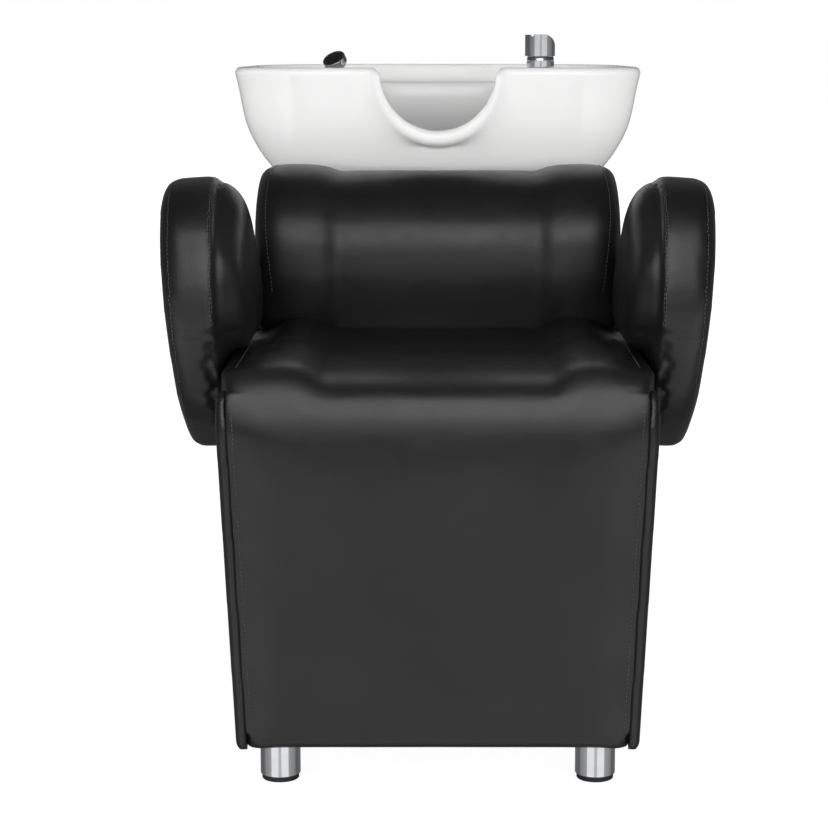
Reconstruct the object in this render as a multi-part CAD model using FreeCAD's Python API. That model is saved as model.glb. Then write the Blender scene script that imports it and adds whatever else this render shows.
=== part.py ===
import FreeCAD, Part
import math
import os

# Salon backwash unit: an upholstered armchair with a tilting ceramic basin, mixer and hand shower.
# Millimetres. X runs across the chair, +Y points to its back and Z is up. The origin lies on the floor
# under the middle of the unit. Depths are measured backwards from the front of the apron.

V = FreeCAD.Vector
X_AXIS = V(1, 0, 0)
Y_AXIS = V(0, 1, 0)
Z_AXIS = V(0, 0, 1)

# Body
BODY_BOTTOM = 50.0  # lower edge of the upholstery
BASE_HALF_WIDTH = 246.0  # half the body's width at its lower edge
SIDE_LEAN = 2.85  # degrees that each side leans outwards
COLUMN_BEHIND = 85.0  # back of the column behind the waste

# Feet and frame
FOOT_HEIGHT = 56.0
FOOT_RADIUS = 25.0
FRAME_PLAY = 7.0  # between the side boards and the frame's rails
PAD_HEIGHT = 6.0
PAD_INSET = 2.0
PAD_BOSS_RADIUS = 10.0
PAD_BOSS_HEIGHT = 8.0
STUD_RADIUS = 4.0
STUD_LENGTH = 38.0
STUD_RISE = 16.0
TUBE = 30.0
TUBE_WALL = 2.0
COLUMN_CLEARANCE = 22.0  # between the back of the chair and the column's front posts

# Boards
SIDE_BOARD = 15.0
SEAT_BOARD = 15.0
APRON_BOARD = 12.0
BACK_BOARD = 12.0
TOP_BOARD = 10.0
REAR_PANEL = 5.0
REAR_COVER = 3.0
BOTTOM_SHEET = 3.0
BOARD_PLAY = 0.2
HOSE_HOLE_RADIUS = 30.0
SERVICE_CUT_WIDTH = 140.0
SERVICE_CUT_HEIGHT = 80.0
WASTE_SWING_RADIUS = 60.0

# Upholstery
SIDE_COVER = 13.0
SIDE_COVER_ROUND = 6.0
SIDE_COVER_SETBACK = 2.0
APRON_PAD = 35.0
SEAT_PAD = 80.0
SEAT_TOP = 500.0  # front of the middle channel
SEAT_FALL = 7.0  # how much the seat drops to the back
SEAT_ROLL = 62.0  # radius of the waterfall front
HEM_RADIUS = 15.0
BOLSTER_RISE = 16.0
CREASE_X = 140.0
CREASE_DEPTH = 3.0
EDGE_DRAW = 9.0
SOFT_GAP = 0.5

# Back
BACK_FOOT = 478.0  # depth of the back's face where it meets the seat
BACK_LEAN = 22.0
BACK_PAD = 60.0
BACK_TOP = 728.0  # top of the back's middle channel
BACK_CREST = 19.5  # crest of the rolled top ahead of the back's rear face
BACK_SETIN = 13.0  # each edge of the back inside the body's sides
NECK_GAP = 4.0  # between the back and the basin's front
BACK_CROWN = 4.0
BACK_REAR_ROUND = 30.0
BACK_BOLSTER = 12.0
BACK_TOP_RISE = 8.0
BACK_BOARD_LENGTH = 232.0
BACK_BOARD_PLAY = 6.0
BACK_BOARD_INSET = 7.5

# Armrests: lobes of the side outline as depth, rise above the seat and radius
ARM_FRONT_LOBE = (300.0, 65.0, 170.0)
ARM_REAR_LOBE = (420.0, 30.0, 110.0)
ARM_HEEL_LOBE = (395.0, -80.0, 40.0)
ARM_TOE_LOBE = (285.0, -80.0, 40.0)
ARM_FOOT_THICKNESS = 59.5
ARM_FLARE = 2.6  # degrees that the outer face leans beyond the side
ARM_EDGE_ROUND = 16.0
ARM_CROWN = 32.0
ARM_CROWN_SLOPE = 37.0  # how far the swell draws in all round
ARM_CROWN_SAG = 30.0  # how far it hangs down as it draws in
ARM_BOARD = 18.0
ARM_BOARD_FRONT = 262.0
ARM_BOARD_LENGTH = 156.0
ARM_BOARD_HEIGHT = 84.0
ARM_BOLT_RADIUS = 4.0
ARM_BOLT_FLATS = 13.0
ARM_BOLT_HEAD = 5.5
ARM_BOLT_DROP = 11.0  # below the seat board
ARM_BOLT_INSET = 38.0  # from each end of the fixing board
ARM_BOLT_EDGE = 8.0  # above the fixing board's lower edge

# Basin
RIM_Z = 868.0
BASIN_WIDTH = 600.0
BASIN_DEPTH = 500.0
BASIN_HEIGHT = 213.0
BASIN_CORNER = 105.0
BASIN_BACK_RADIUS = 220.0
BASIN_BACK_SETIN = 10.0  # the back's round inside the full width
BELLY_SPARE = 27.0  # how much deeper than the basin the ellipse of its outer wall is
BASIN_SHOULDER = 18.0  # widest level below the rim
RIM_WALL = 14.0
RIM_ROUND = 6.0
DECK_DROP = 30.0
WALL = 12.0
BOWL_FRONT_DECK = 90.0  # from the tap's middle back to the bowl
BOWL_SIDE_MARGIN = 50.0
BOWL_BACK_MARGIN = 30.0
BOWL_RAISE = 30.0  # bowl floor above the basin's foot
BOWL_FLOOR_MARGIN = 12.5  # bowl floor round the waste's flange
WASTE_AHEAD = 30.0  # waste in front of the bowl's middle
NOTCH_RADIUS = 83.5
NOTCH_DROP = 4.5  # notch centre below the rim
NOTCH_SLOPE = 8.0
NOTCH_FLARE = 8.0
LIP_RADIUS = 13.0
LIP_PROUD = 7.0
LIP_LEAN = 6.0
LIP_SINK = 10.5  # lip ring's centre below the notch's
LIP_OVERLAP = 10.0  # lip ring inside the notch's edge

# Tilting bracket
PIVOT_AHEAD = 45.0  # pivot in front of the waste
PIVOT_DROP = 27.0  # pivot below the basin's foot
PIVOT_RISE = 38.0  # pivot above the column
PIVOT_RADIUS = 5.0
PIVOT_BOSS = 14.0
PIVOT_HEAD = 3.0  # bolt head proud of its shank
BRACKET_HALF = 100.0
BRACKET_PLATE = 4.0
BRACKET_AHEAD = 70.0  # plate in front of the pivot
BRACKET_BEHIND = 100.0
EAR_CORNER = 3.0
EAR = 5.0
EAR_GAP = 0.5
TILT_PLATE = 4.0
TILT_MARGIN = 5.0  # plate wider than the basin's foot
TILT_AHEAD = 25.0  # plate in front of the pivot
TILT_BEHIND = 95.0
TILT_CORNER = 2.0
LOCK_EDGE = 1.5  # ear beyond the slot's own width
PAD_RUBBER = 2.0
TILT_BACKWARD = 8.0
TILT_FORWARD = 2.0
LOCK_BACK = 60.0  # lock stud behind the pivot
LOCK_DROP = 8.0  # lock stud below the pivot
LOCK_RADIUS = 4.0
LOCK_MARGIN = 1.5  # degrees of spare slot
KNOB_RADIUS = 14.0
KNOB_WIDTH = 18.0
KNOB_LOBES = 6
SCREW_RADIUS = 3.0
SCREW_HEAD_RADIUS = 6.0
SCREW_HEAD = 3.5
SCREW_LENGTH = 13.0
RUN_FIT = 0.05
PIN_FIT = 0.02
FREE_FIT = 0.2

# Waste and trap
WASTE_TUBE = 21.0
WASTE_BORE = 18.5
WASTE_FLANGE = 34.0
WASTE_FLANGE_RISE = 3.0
WASTE_GASKET = 2.0
WASTE_HOLE = 22.5
WASTE_LENGTH = 85.0  # below the bowl's floor
WASTE_NUT_FLATS = 58.0
WASTE_NUT = 12.0
TRAP_RADIUS = 28.0
TRAP_WALL = 2.5
TRAP_DROP = 18.0  # trap below the waste's end
TRAP_HEIGHT = 127.0
TRAP_NECK_REACH = 25.0  # neck inside the waste
TRAP_NUT_RADIUS = 27.0
TRAP_NUT_BELOW = 8.0
TRAP_NUT_ABOVE = 10.0
TRAP_CUP_DROP = 25.0
TRAP_CUP_RISE = 15.0
TRAP_CUP_WALL = 3.0
OUTLET_RADIUS = 16.0
OUTLET_HUB = 19.0
OUTLET_HUB_REACH = 36.0
OUTLET_DROP = 42.0  # outlet below the trap's top
OUTLET_LENGTH = 56.0
STRAINER_RADIUS = 18.2
STRAINER_HOLES = 6

# Mixer
TAP_X = 150.0
TAP_BACK = 70.0  # behind the basin's front
TAP_HOLE = 17.0
GASKET = 2.0
TAP_FLANGE = 24.0
TAP_FLANGE_RISE = 4.0
MIXER_RADIUS = 20.0
MIXER_PIVOT_RISE = 39.5  # ball centre above the deck
MIXER_BALL = 19.8
MIXER_PLUG = 16.0
MIXER_PLUG_DEPTH = 16.0
HANDLE_RADIUS = 21.2
HANDLE_RIM = 6.5  # handle's lower edge above the ball centre
HANDLE_HEIGHT = 32.0
HANDLE_NOSE_REACH = 14.0
HANDLE_NOSE_RADIUS = 8.6
HANDLE_SHOULDER = 18.0
HANDLE_BALL_GAP = 0.5
HANDLE_LIFT = 20.0
STEM_RADIUS = 3.8
STEM_EYE = 5.0
STEM_WIDTH = 7.6
STEM_GAP = 0.3
STEM_SOCKET = 8.0
MIXER_PIN_RADIUS = 1.5
MIXER_PIN_LENGTH = 26.0
SHANK_RADIUS = 16.0
SHANK_LENGTH = 48.0
INLET_RADIUS = 4.5
INLET_SPACING = 14.0
INLET_DEPTH = 15.0
BACKNUT_FLATS = 44.0
BACKNUT = 10.0
BACKNUT_WASHER = 2.0
GRUB_RADIUS = 2.5
GRUB_LENGTH = 6.0

# Hand shower
HOLDER_FLANGE = 21.0
HOLDER_RISE = 7.0
HOLDER_RADIUS = 16.0
HOLDER_LENGTH = 40.0
GRIP_RADIUS = 13.0
GRIP_FIT = 0.3
GRIP_DEPTH = 93.0
COLLAR_RADIUS = 17.0
COLLAR_RISE = 6.0
HEAD_RADIUS = 17.0
HEAD_HEIGHT = 17.0
HEAD_CENTRE_RISE = 38.0  # above the deck
HEAD_TILT = 38.0
HEAD_TURN = 35.0
SPRAY_RADIUS = 14.2
SPRAY_DEPTH = 3.0
HOSE_NUT_RADIUS = 10.0
HOSE_NUT_LENGTH = 20.0

# Worked-out places
SEAT_UNDER = SEAT_TOP - SEAT_PAD
SEAT_REAR_Z = SEAT_TOP - SEAT_FALL
SIDE_TOP = SEAT_TOP - EDGE_DRAW + BOLSTER_RISE / 4
FRAME_FRONT = APRON_PAD + APRON_BOARD
TUBE_HALF = TUBE / 2
FOOT_X = BASE_HALF_WIDTH - SIDE_COVER - SIDE_BOARD - FRAME_PLAY - TUBE_HALF
DECK_Z = RIM_Z - DECK_DROP
BASIN_BASE = RIM_Z - BASIN_HEIGHT
BASIN_MIDDLE = BASIN_DEPTH / 2
BASIN_BELLY = BASIN_HEIGHT + BELLY_SPARE
BASIN_BACK_HALF = BASIN_WIDTH / 2 - BASIN_BACK_RADIUS - BASIN_BACK_SETIN
BOWL_RADIUS = (BASIN_DEPTH - BOWL_BACK_MARGIN - TAP_BACK - BOWL_FRONT_DECK) / 2
BOWL_FLAT = (WASTE_FLANGE + BOWL_FLOOR_MARGIN) / BOWL_RADIUS  # share of the bowl's plan that its floor keeps
BOWL_HALF = BASIN_WIDTH / 2 - BOWL_RADIUS - BOWL_SIDE_MARGIN
BOWL_CENTRE = BASIN_DEPTH - BOWL_RADIUS - BOWL_BACK_MARGIN
BOWL_FLOOR = BASIN_BASE + BOWL_RAISE
WASTE_BACK = BOWL_CENTRE - WASTE_AHEAD
WASTE_END = BOWL_FLOOR - WASTE_LENGTH
TRAP_TOP = WASTE_END - TRAP_DROP
TRAP_BOTTOM = TRAP_TOP - TRAP_HEIGHT
TRAP_NECK_TOP = WASTE_END + TRAP_NECK_REACH
TRAP_NUT_LOW = WASTE_END - TRAP_NUT_BELOW
TRAP_NUT_HIGH = WASTE_END + TRAP_NUT_ABOVE
OUTLET_Z = TRAP_TOP - OUTLET_DROP
OUTLET_REACH = OUTLET_HUB_REACH + OUTLET_LENGTH
NOTCH_Z = RIM_Z - NOTCH_DROP
PIVOT_Z = BASIN_BASE - PIVOT_DROP
COLUMN_TOP = PIVOT_Z - PIVOT_RISE  # top of the board that carries the basin bracket
ARM_BOLT_Z = SEAT_UNDER - SEAT_BOARD - ARM_BOLT_DROP
ARM_BOARD_LOW = ARM_BOLT_Z - ARM_BOLT_EDGE
ARM_BOARD_HIGH = ARM_BOARD_LOW + ARM_BOARD_HEIGHT
ARM_BOARD_BACK = ARM_BOARD_FRONT + ARM_BOARD_LENGTH
TILT_TOP = BASIN_BASE - PAD_RUBBER
TILT_UNDER = TILT_TOP - TILT_PLATE
MIXER_PIVOT_Z = DECK_Z + MIXER_PIVOT_RISE
LEAN = math.radians(SIDE_LEAN)


def half_width(z):
    """Half the upholstered body's width at a height."""
    return BASE_HALF_WIDTH + (z - BODY_BOTTOM) * math.tan(LEAN)


def across_sides(thickness):
    """Level width of something that thick on a leaning side."""
    return thickness / math.cos(LEAN)


def back_point(up, behind):
    """Depth and height of a point up the back's face and behind it."""
    lean = math.radians(BACK_LEAN)
    depth = BACK_FOOT + up * math.sin(lean) + behind * math.cos(lean)
    return depth, SEAT_REAR_Z + up * math.cos(lean) - behind * math.sin(lean)


def back_up(z, behind):
    """Distance up the back's face at which a plane behind it reaches a height."""
    lean = math.radians(BACK_LEAN)
    return (z - SEAT_REAR_Z + behind * math.sin(lean)) / math.cos(lean)


def back_depth(z, behind):
    """Depth of a plane behind the back's face at a height."""
    return back_point(back_up(z, behind), behind)[0]


def belly(z):
    """Share of the full plan that the basin's outer wall keeps at a height."""
    below = max(RIM_Z - BASIN_SHOULDER - z, 0.0)
    return math.sqrt(1 - (below / BASIN_BELLY) ** 2)


# Depths, from the apron's front to the back of the basin
BACK_STACK = BACK_PAD + BACK_BOARD + REAR_COVER
BACK_REAR_TOP = back_depth(BACK_TOP - BACK_REAR_ROUND, BACK_PAD)
BACK_ROLL = BACK_REAR_TOP - BACK_CREST - BACK_FOOT  # radius of the back's rolled top
BASIN_FRONT = math.ceil(BACK_REAR_TOP + NECK_GAP)  # to the next whole millimetre
OVERALL_DEPTH = BASIN_FRONT + BASIN_DEPTH
WASTE_DEPTH = BASIN_FRONT + WASTE_BACK
TAP_DEPTH = BASIN_FRONT + TAP_BACK
BODY_DEPTH = WASTE_DEPTH + COLUMN_BEHIND
FRAME_BACK = BODY_DEPTH - REAR_PANEL
COLUMN_FRONT = back_depth(COLUMN_TOP, BACK_STACK) + COLUMN_CLEARANCE
REAR_FOOT_DEPTH = FRAME_BACK - TUBE_HALF
FRONT_FOOT_DEPTH = FRAME_FRONT + TUBE_HALF
PIVOT_DEPTH = WASTE_DEPTH - PIVOT_AHEAD
BRACKET_FRONT = PIVOT_DEPTH - BRACKET_AHEAD
BRACKET_BACK = PIVOT_DEPTH + BRACKET_BEHIND
TILT_FRONT = PIVOT_DEPTH - TILT_AHEAD
TILT_BACK = PIVOT_DEPTH + TILT_BEHIND

# Widths that follow the leaning sides
BACK_HALF_WIDTH = half_width(SEAT_TOP) - BACK_SETIN
BACK_WIDE_HALF = BACK_HALF_WIDTH - BACK_BOARD_INSET
BACK_BOARD_HALF = half_width(SEAT_UNDER) - across_sides(SIDE_COVER + SIDE_BOARD) - BACK_BOARD_PLAY
TILT_HALF = belly(BASIN_BASE) * BASIN_WIDTH / 2 + TILT_MARGIN


def at(depth):
    """Y of a depth behind the apron's front."""
    return depth - OVERALL_DEPTH / 2


def box(x0, x1, d0, d1, z0, z1):
    return Part.makeBox(x1 - x0, d1 - d0, z1 - z0, V(x0, at(d0), z0))


def rod(x, depth, z, axis, radius, length):
    return Part.makeCylinder(radius, length, V(x, at(depth), z), axis)


def hexagon(x, depth, z, axis, flats, length):
    """Six-sided prism that starts at a point and runs along an axis."""
    corner = flats / math.sqrt(3)
    turn = FreeCAD.Rotation(Z_AXIS, axis)
    points = []
    for i in range(7):
        angle = math.radians(60 * i)
        spoke = V(corner * math.cos(angle), corner * math.sin(angle), 0)
        points.append(V(x, at(depth), z) + turn.multVec(spoke))
    return Part.Face(Part.makePolygon(points)).extrude(axis * length)


def arc(a, b, c):
    return Part.Arc(a, b, c).toShape()


def line(a, b):
    return Part.LineSegment(a, b).toShape()


def belt(circles, inset, place):
    """Closed wire round circles given in turn (first, second, radius), drawn in by an inset."""
    count = len(circles)
    normals = []
    for i in range(count):
        a0, b0, r0 = circles[i]
        a1, b1, r1 = circles[(i + 1) % count]
        gap = math.hypot(a1 - a0, b1 - b0)
        normals.append(math.atan2(b1 - b0, a1 - a0) - math.acos((r0 - r1) / gap))
    edges = []
    for i in range(count):
        a, b, r = circles[i]
        start = normals[i - 1]
        sweep = (normals[i] - start) % (2 * math.pi)
        stops = []
        for step in range(5):
            angle = start + sweep * step / 4
            stops.append(place(a + (r - inset) * math.cos(angle), b + (r - inset) * math.sin(angle)))
        if sweep > 2 * math.pi / 3:
            edges.append(arc(stops[0], stops[1], stops[2]))
            edges.append(arc(stops[2], stops[3], stops[4]))
        else:
            edges.append(arc(stops[0], stops[2], stops[4]))
        a1, b1, r1 = circles[(i + 1) % count]
        nxt = place(a1 + (r1 - inset) * math.cos(normals[i]), b1 + (r1 - inset) * math.sin(normals[i]))
        edges.append(line(stops[4], nxt))
    return Part.Wire(edges)


def rounded(corners, place):
    """Closed wire through corners (first, second, radius), each rounded by its radius."""
    count = len(corners)
    starts = []
    for i in range(count):
        a, b, r = corners[i]
        pa, pb, _ = corners[i - 1]
        na, nb, _ = corners[(i + 1) % count]
        back = V(pa - a, pb - b, 0).normalize()
        ahead = V(na - a, nb - b, 0).normalize()
        half = back.getAngle(ahead) / 2
        reach = r / math.tan(half)
        middle = (back + ahead).normalize()
        deep = r / math.sin(half) - r
        here = V(a, b, 0)
        starts.append((here + back * reach, here + middle * deep, here + ahead * reach))
    edges = []
    for i in range(count):
        before, middle, after = starts[i]
        following = starts[(i + 1) % count][0]
        edges.append(arc(place(before.x, before.y), place(middle.x, middle.y), place(after.x, after.y)))
        edges.append(line(place(after.x, after.y), place(following.x, following.y)))
    return Part.Wire(edges)


def turned(profile, x, depth, axis_z=0.0):
    """Solid turned about an upright axis from (radius, height) corners."""
    points = [V(x + r, at(depth), z + axis_z) for r, z in profile]
    face = Part.Face(Part.makePolygon(points + points[:1]))
    return face.revolve(V(x, at(depth), 0), Z_AXIS, 360)


def mirrored(shape):
    return shape.mirror(V(0, 0, 0), X_AXIS)


def both_sides(shape):
    return Part.makeCompound([mirrored(shape), shape])


def leaned(shape):
    """Right-hand piece built upright at the lower edge, leaned out with the side."""
    return shape.rotate(V(BASE_HALF_WIDTH, 0, BODY_BOTTOM), Y_AXIS, SIDE_LEAN)


def side_place(proud):
    """Places (depth, height) on the upright right side, a distance outside its face."""
    def place(depth, z):
        return V(BASE_HALF_WIDTH + proud, at(depth), BODY_BOTTOM + (z - BODY_BOTTOM) / math.cos(LEAN))
    return place


def inner_prism(thickness):
    """Space between the two sides, less what is that thick on each."""
    low = 0.0
    high = RIM_Z
    x_low = half_width(low) - across_sides(thickness) - BOARD_PLAY
    x_high = half_width(high) - across_sides(thickness) - BOARD_PLAY
    points = [V(-x_low, at(0), low), V(x_low, at(0), low), V(x_high, at(0), high), V(-x_high, at(0), high)]
    return Part.Face(Part.makePolygon(points + points[:1])).extrude(V(0, OVERALL_DEPTH, 0))


def tube_along(axis, start, length):
    """Square tube from the low corner of its end."""
    size = [TUBE, TUBE, TUBE]
    hollow = [TUBE - 2 * TUBE_WALL] * 3
    index = [X_AXIS, Y_AXIS, Z_AXIS].index(axis)
    size[index] = length
    hollow[index] = length
    offset = [TUBE_WALL] * 3
    offset[index] = 0
    outer = Part.makeBox(size[0], size[1], size[2], start)
    corner = start + V(offset[0], offset[1], offset[2])
    return outer.cut(Part.makeBox(hollow[0], hollow[1], hollow[2], corner))


def steel_frame():
    seat_rail_z = SEAT_UNDER - SEAT_BOARD - TUBE
    top_rail_z = COLUMN_TOP - TOP_BOARD - TUBE
    base_top = FOOT_HEIGHT + TUBE
    cross = 2 * (FOOT_X - TUBE_HALF)
    back_post = FRAME_BACK - TUBE
    tubes = []
    for x in (-FOOT_X - TUBE_HALF, FOOT_X - TUBE_HALF):
        tubes.append(tube_along(Y_AXIS, V(x, at(FRAME_FRONT), FOOT_HEIGHT), FRAME_BACK - FRAME_FRONT))
        tubes.append(tube_along(Z_AXIS, V(x, at(FRAME_FRONT), base_top), seat_rail_z - base_top))
        tubes.append(tube_along(Y_AXIS, V(x, at(FRAME_FRONT), seat_rail_z), COLUMN_FRONT - FRAME_FRONT))
        tubes.append(tube_along(Z_AXIS, V(x, at(COLUMN_FRONT), base_top), top_rail_z - base_top))
        tubes.append(tube_along(Z_AXIS, V(x, at(back_post), base_top), top_rail_z - base_top))
        tubes.append(tube_along(Y_AXIS, V(x, at(COLUMN_FRONT), top_rail_z), FRAME_BACK - COLUMN_FRONT))
    inside = -FOOT_X + TUBE_HALF
    levels = (
        (FRAME_FRONT, FOOT_HEIGHT),
        (COLUMN_FRONT, FOOT_HEIGHT),
        (back_post, FOOT_HEIGHT),
        (FRAME_FRONT, seat_rail_z),
        (COLUMN_FRONT, top_rail_z),
        (back_post, top_rail_z),
    )
    for depth, z in levels:
        tubes.append(tube_along(X_AXIS, V(inside, at(depth), z), cross))
    frame = tubes[0].multiFuse(tubes[1:]).removeSplitter()
    for x, depth in foot_places():
        frame = frame.cut(rod(x, depth, FOOT_HEIGHT - 1, Z_AXIS, STUD_RADIUS + FREE_FIT, TUBE_WALL + 2))
    return frame


def foot_places():
    return [(x, d) for x in (-FOOT_X, FOOT_X) for d in (FRONT_FOOT_DEPTH, REAR_FOOT_DEPTH)]


def feet():
    """Turned chrome cups, drilled for the stud above and the pad's boss below."""
    edge = 1.5
    profile = [
        (0, PAD_HEIGHT),
        (FOOT_RADIUS - edge, PAD_HEIGHT),
        (FOOT_RADIUS, PAD_HEIGHT + edge),
        (FOOT_RADIUS, FOOT_HEIGHT - edge),
        (FOOT_RADIUS - edge, FOOT_HEIGHT),
        (0, FOOT_HEIGHT),
    ]
    stud_foot = FOOT_HEIGHT + STUD_RISE - STUD_LENGTH
    solids = []
    for x, depth in foot_places():
        foot = turned(profile, x, depth)
        foot = foot.cut(rod(x, depth, stud_foot, Z_AXIS, STUD_RADIUS, STUD_LENGTH))
        foot = foot.cut(rod(x, depth, PAD_HEIGHT, Z_AXIS, PAD_BOSS_RADIUS, PAD_BOSS_HEIGHT))
        solids.append(foot)
    return Part.makeCompound(solids)


def foot_pads():
    radius = FOOT_RADIUS - PAD_INSET
    solids = []
    for x, depth in foot_places():
        profile = [
            (0, 0),
            (radius - 1, 0),
            (radius, 1),
            (radius, PAD_HEIGHT),
            (PAD_BOSS_RADIUS, PAD_HEIGHT),
            (PAD_BOSS_RADIUS, PAD_HEIGHT + PAD_BOSS_HEIGHT),
            (0, PAD_HEIGHT + PAD_BOSS_HEIGHT),
        ]
        solids.append(turned(profile, x, depth))
    return Part.makeCompound(solids)


def foot_studs():
    low = FOOT_HEIGHT + STUD_RISE - STUD_LENGTH
    return Part.makeCompound([rod(x, d, low, Z_AXIS, STUD_RADIUS, STUD_LENGTH) for x, d in foot_places()])


def between_sides(shape):
    return shape.common(inner_prism(SIDE_COVER + SIDE_BOARD))


def apron_board():
    wide = half_width(RIM_Z)
    return between_sides(box(-wide, wide, APRON_PAD, FRAME_FRONT, FOOT_HEIGHT, SEAT_UNDER - SEAT_BOARD))


def seat_board():
    wide = half_width(RIM_Z)
    return between_sides(box(-wide, wide, APRON_PAD, COLUMN_FRONT, SEAT_UNDER - SEAT_BOARD, SEAT_UNDER))


def leaning_slab(half, z_low, up_high, near, far):
    """Slab parallel to the back's face, cut level at its foot."""
    corners = [
        back_point(back_up(z_low, near), near),
        back_point(back_up(z_low, far), far),
        back_point(up_high, far),
        back_point(up_high, near),
    ]
    points = [V(-half, at(d), z) for d, z in corners]
    return Part.Face(Part.makePolygon(points + points[:1])).extrude(V(2 * half, 0, 0))


def back_board():
    wide_from = SEAT_TOP + BOLSTER_RISE
    far = BACK_PAD + BACK_BOARD
    narrow = leaning_slab(BACK_BOARD_HALF, SEAT_UNDER, BACK_BOARD_LENGTH, BACK_PAD, far)
    wide = leaning_slab(BACK_WIDE_HALF, wide_from, BACK_BOARD_LENGTH, BACK_PAD, far)
    return narrow.fuse(wide).removeSplitter()


def back_rear_cover():
    near = BACK_PAD + BACK_BOARD
    return leaning_slab(BACK_WIDE_HALF, SEAT_TOP + BOLSTER_RISE, BACK_BOARD_LENGTH, near, BACK_STACK)


def side_outline(front, low, back, seat_level, top, place):
    """Outline of a side: seat box in front, column behind, the back's slope between them."""
    behind = BACK_STACK + 3 * SOFT_GAP
    return rounded([
        (front, low, HEM_RADIUS),
        (back, low, HEM_RADIUS / 2),
        (back, top, HEM_RADIUS),
        (back_depth(top, behind), top, HEM_RADIUS),
        (back_depth(seat_level, behind), seat_level, HEM_RADIUS),
        (front, seat_level, SEAT_ROLL if seat_level > SEAT_UNDER else HEM_RADIUS),
    ], place)


def arm_bolt_places():
    return [ARM_BOARD_FRONT + ARM_BOLT_INSET, ARM_BOARD_BACK - ARM_BOLT_INSET]


def arm_bolt_holes(radius):
    """Bores through the right side for the armrest bolts, before it is leaned."""
    z = side_place(0)(0, ARM_BOLT_Z).z
    reach = SIDE_COVER + SIDE_BOARD + ARM_BOARD
    holes = [rod(BASE_HALF_WIDTH - reach, d, z, X_AXIS, radius, 2 * reach) for d in arm_bolt_places()]
    return Part.makeCompound(holes)


def side_board():
    place = side_place(-SIDE_COVER - SIDE_BOARD)
    lift = (SIDE_COVER + SIDE_BOARD) * math.sin(LEAN) + BOARD_PLAY
    outline = side_outline(APRON_PAD, FOOT_HEIGHT, FRAME_BACK, SEAT_UNDER - lift, COLUMN_TOP - lift, place)
    board = Part.Face(outline).extrude(V(SIDE_BOARD, 0, 0))
    return leaned(board.cut(arm_bolt_holes(ARM_BOLT_RADIUS + FREE_FIT)))


def side_cover():
    place = side_place(-SIDE_COVER)
    outline = side_outline(SIDE_COVER_SETBACK, BODY_BOTTOM, BODY_DEPTH, SIDE_TOP, COLUMN_TOP, place)
    cover = Part.Face(outline).extrude(V(SIDE_COVER, 0, 0))
    outer = [e for e in cover.Edges if min(v.X for v in e.Vertexes) > BASE_HALF_WIDTH - SOFT_GAP]
    cover = cover.makeFillet(SIDE_COVER_ROUND, outer)
    return leaned(cover.cut(arm_bolt_holes(ARM_BOLT_RADIUS + FREE_FIT)))


def seat_edge():
    """Half the seat cushion's width at the seat's height."""
    return half_width(SEAT_TOP) - across_sides(SIDE_COVER) - SOFT_GAP


def seat_section(x, rise, draw):
    """Outline of seat and apron at one place across; it fans out with the leaning sides."""
    fan = math.tan(LEAN) * x / seat_edge()
    top = SEAT_TOP + rise
    rear = SEAT_REAR_Z + rise
    roll = SEAT_ROLL + rise
    slack = BACK_PAD - 2 * SOFT_GAP

    def place(depth, z):
        return V(x + (z - SEAT_TOP) * fan, at(depth), z)

    diagonal = roll * (1 - math.sqrt(0.5))
    hem = HEM_RADIUS * (1 - math.sqrt(0.5))
    rear_depth = back_depth(rear, slack)
    under_depth = back_depth(SEAT_UNDER, slack)
    middle = (draw + roll + rear_depth) / 2
    a = place(APRON_PAD, BODY_BOTTOM)
    b = place(draw + HEM_RADIUS, BODY_BOTTOM)
    b_c = place(draw + hem, BODY_BOTTOM + hem)
    c = place(draw, BODY_BOTTOM + HEM_RADIUS)
    d = place(draw, top - roll)
    d_e = place(draw + diagonal, top - diagonal)
    e = place(draw + roll, top)
    e_f = place(middle, (top + rear) / 2 + SEAT_FALL / 4)
    f = place(rear_depth, rear)
    g = place(under_depth, SEAT_UNDER)
    h = place(APRON_PAD, SEAT_UNDER)
    return Part.Wire([
        line(a, b),
        arc(b, b_c, c),
        line(c, d),
        arc(d, d_e, e),
        arc(e, e_f, f),
        line(f, g),
        line(g, h),
        line(h, a),
    ])


def bolster_steps(edge):
    """Places across half a cushion: x, share of the bolster's rise, and how far the edge is drawn in."""
    width = edge - CREASE_X
    channel = [
        (0.0, 0.0, 0.0),
        (0.6 * CREASE_X, 0.0, 0.0),
        (0.92 * CREASE_X, 0.0, 0.0),
        (CREASE_X, -1.0, 0.0),
    ]
    bolster = [
        (CREASE_X, -1.0, 0.0),
        (CREASE_X + 0.1 * width, 0.55, 0.0),
        (CREASE_X + 0.3 * width, 1.0, 0.0),
        (CREASE_X + 0.72 * width, 1.0, 0.0),
        (CREASE_X + 0.91 * width, 0.6, 0.25),
        (edge, -0.2, 1.0),
    ]
    return channel, bolster


def bolster_height(share, rise):
    """Rise at a place across; the crease sinks by its own depth."""
    return -CREASE_DEPTH if share == -1.0 else share * rise


def padded(steps, section):
    """Cushion half lofted across from its sections."""
    halves = []
    for places in steps:
        wires = [section(x, share, draw) for x, share, draw in places]
        halves.append(Part.makeLoft(wires, True, True))
    half = halves[0].fuse(halves[1])
    return half.fuse(mirrored(half)).removeSplitter()


def seat_cushion():
    def section(x, share, draw):
        return seat_section(x, bolster_height(share, BOLSTER_RISE), draw * EDGE_DRAW)
    return padded(bolster_steps(seat_edge()), section)


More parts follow.
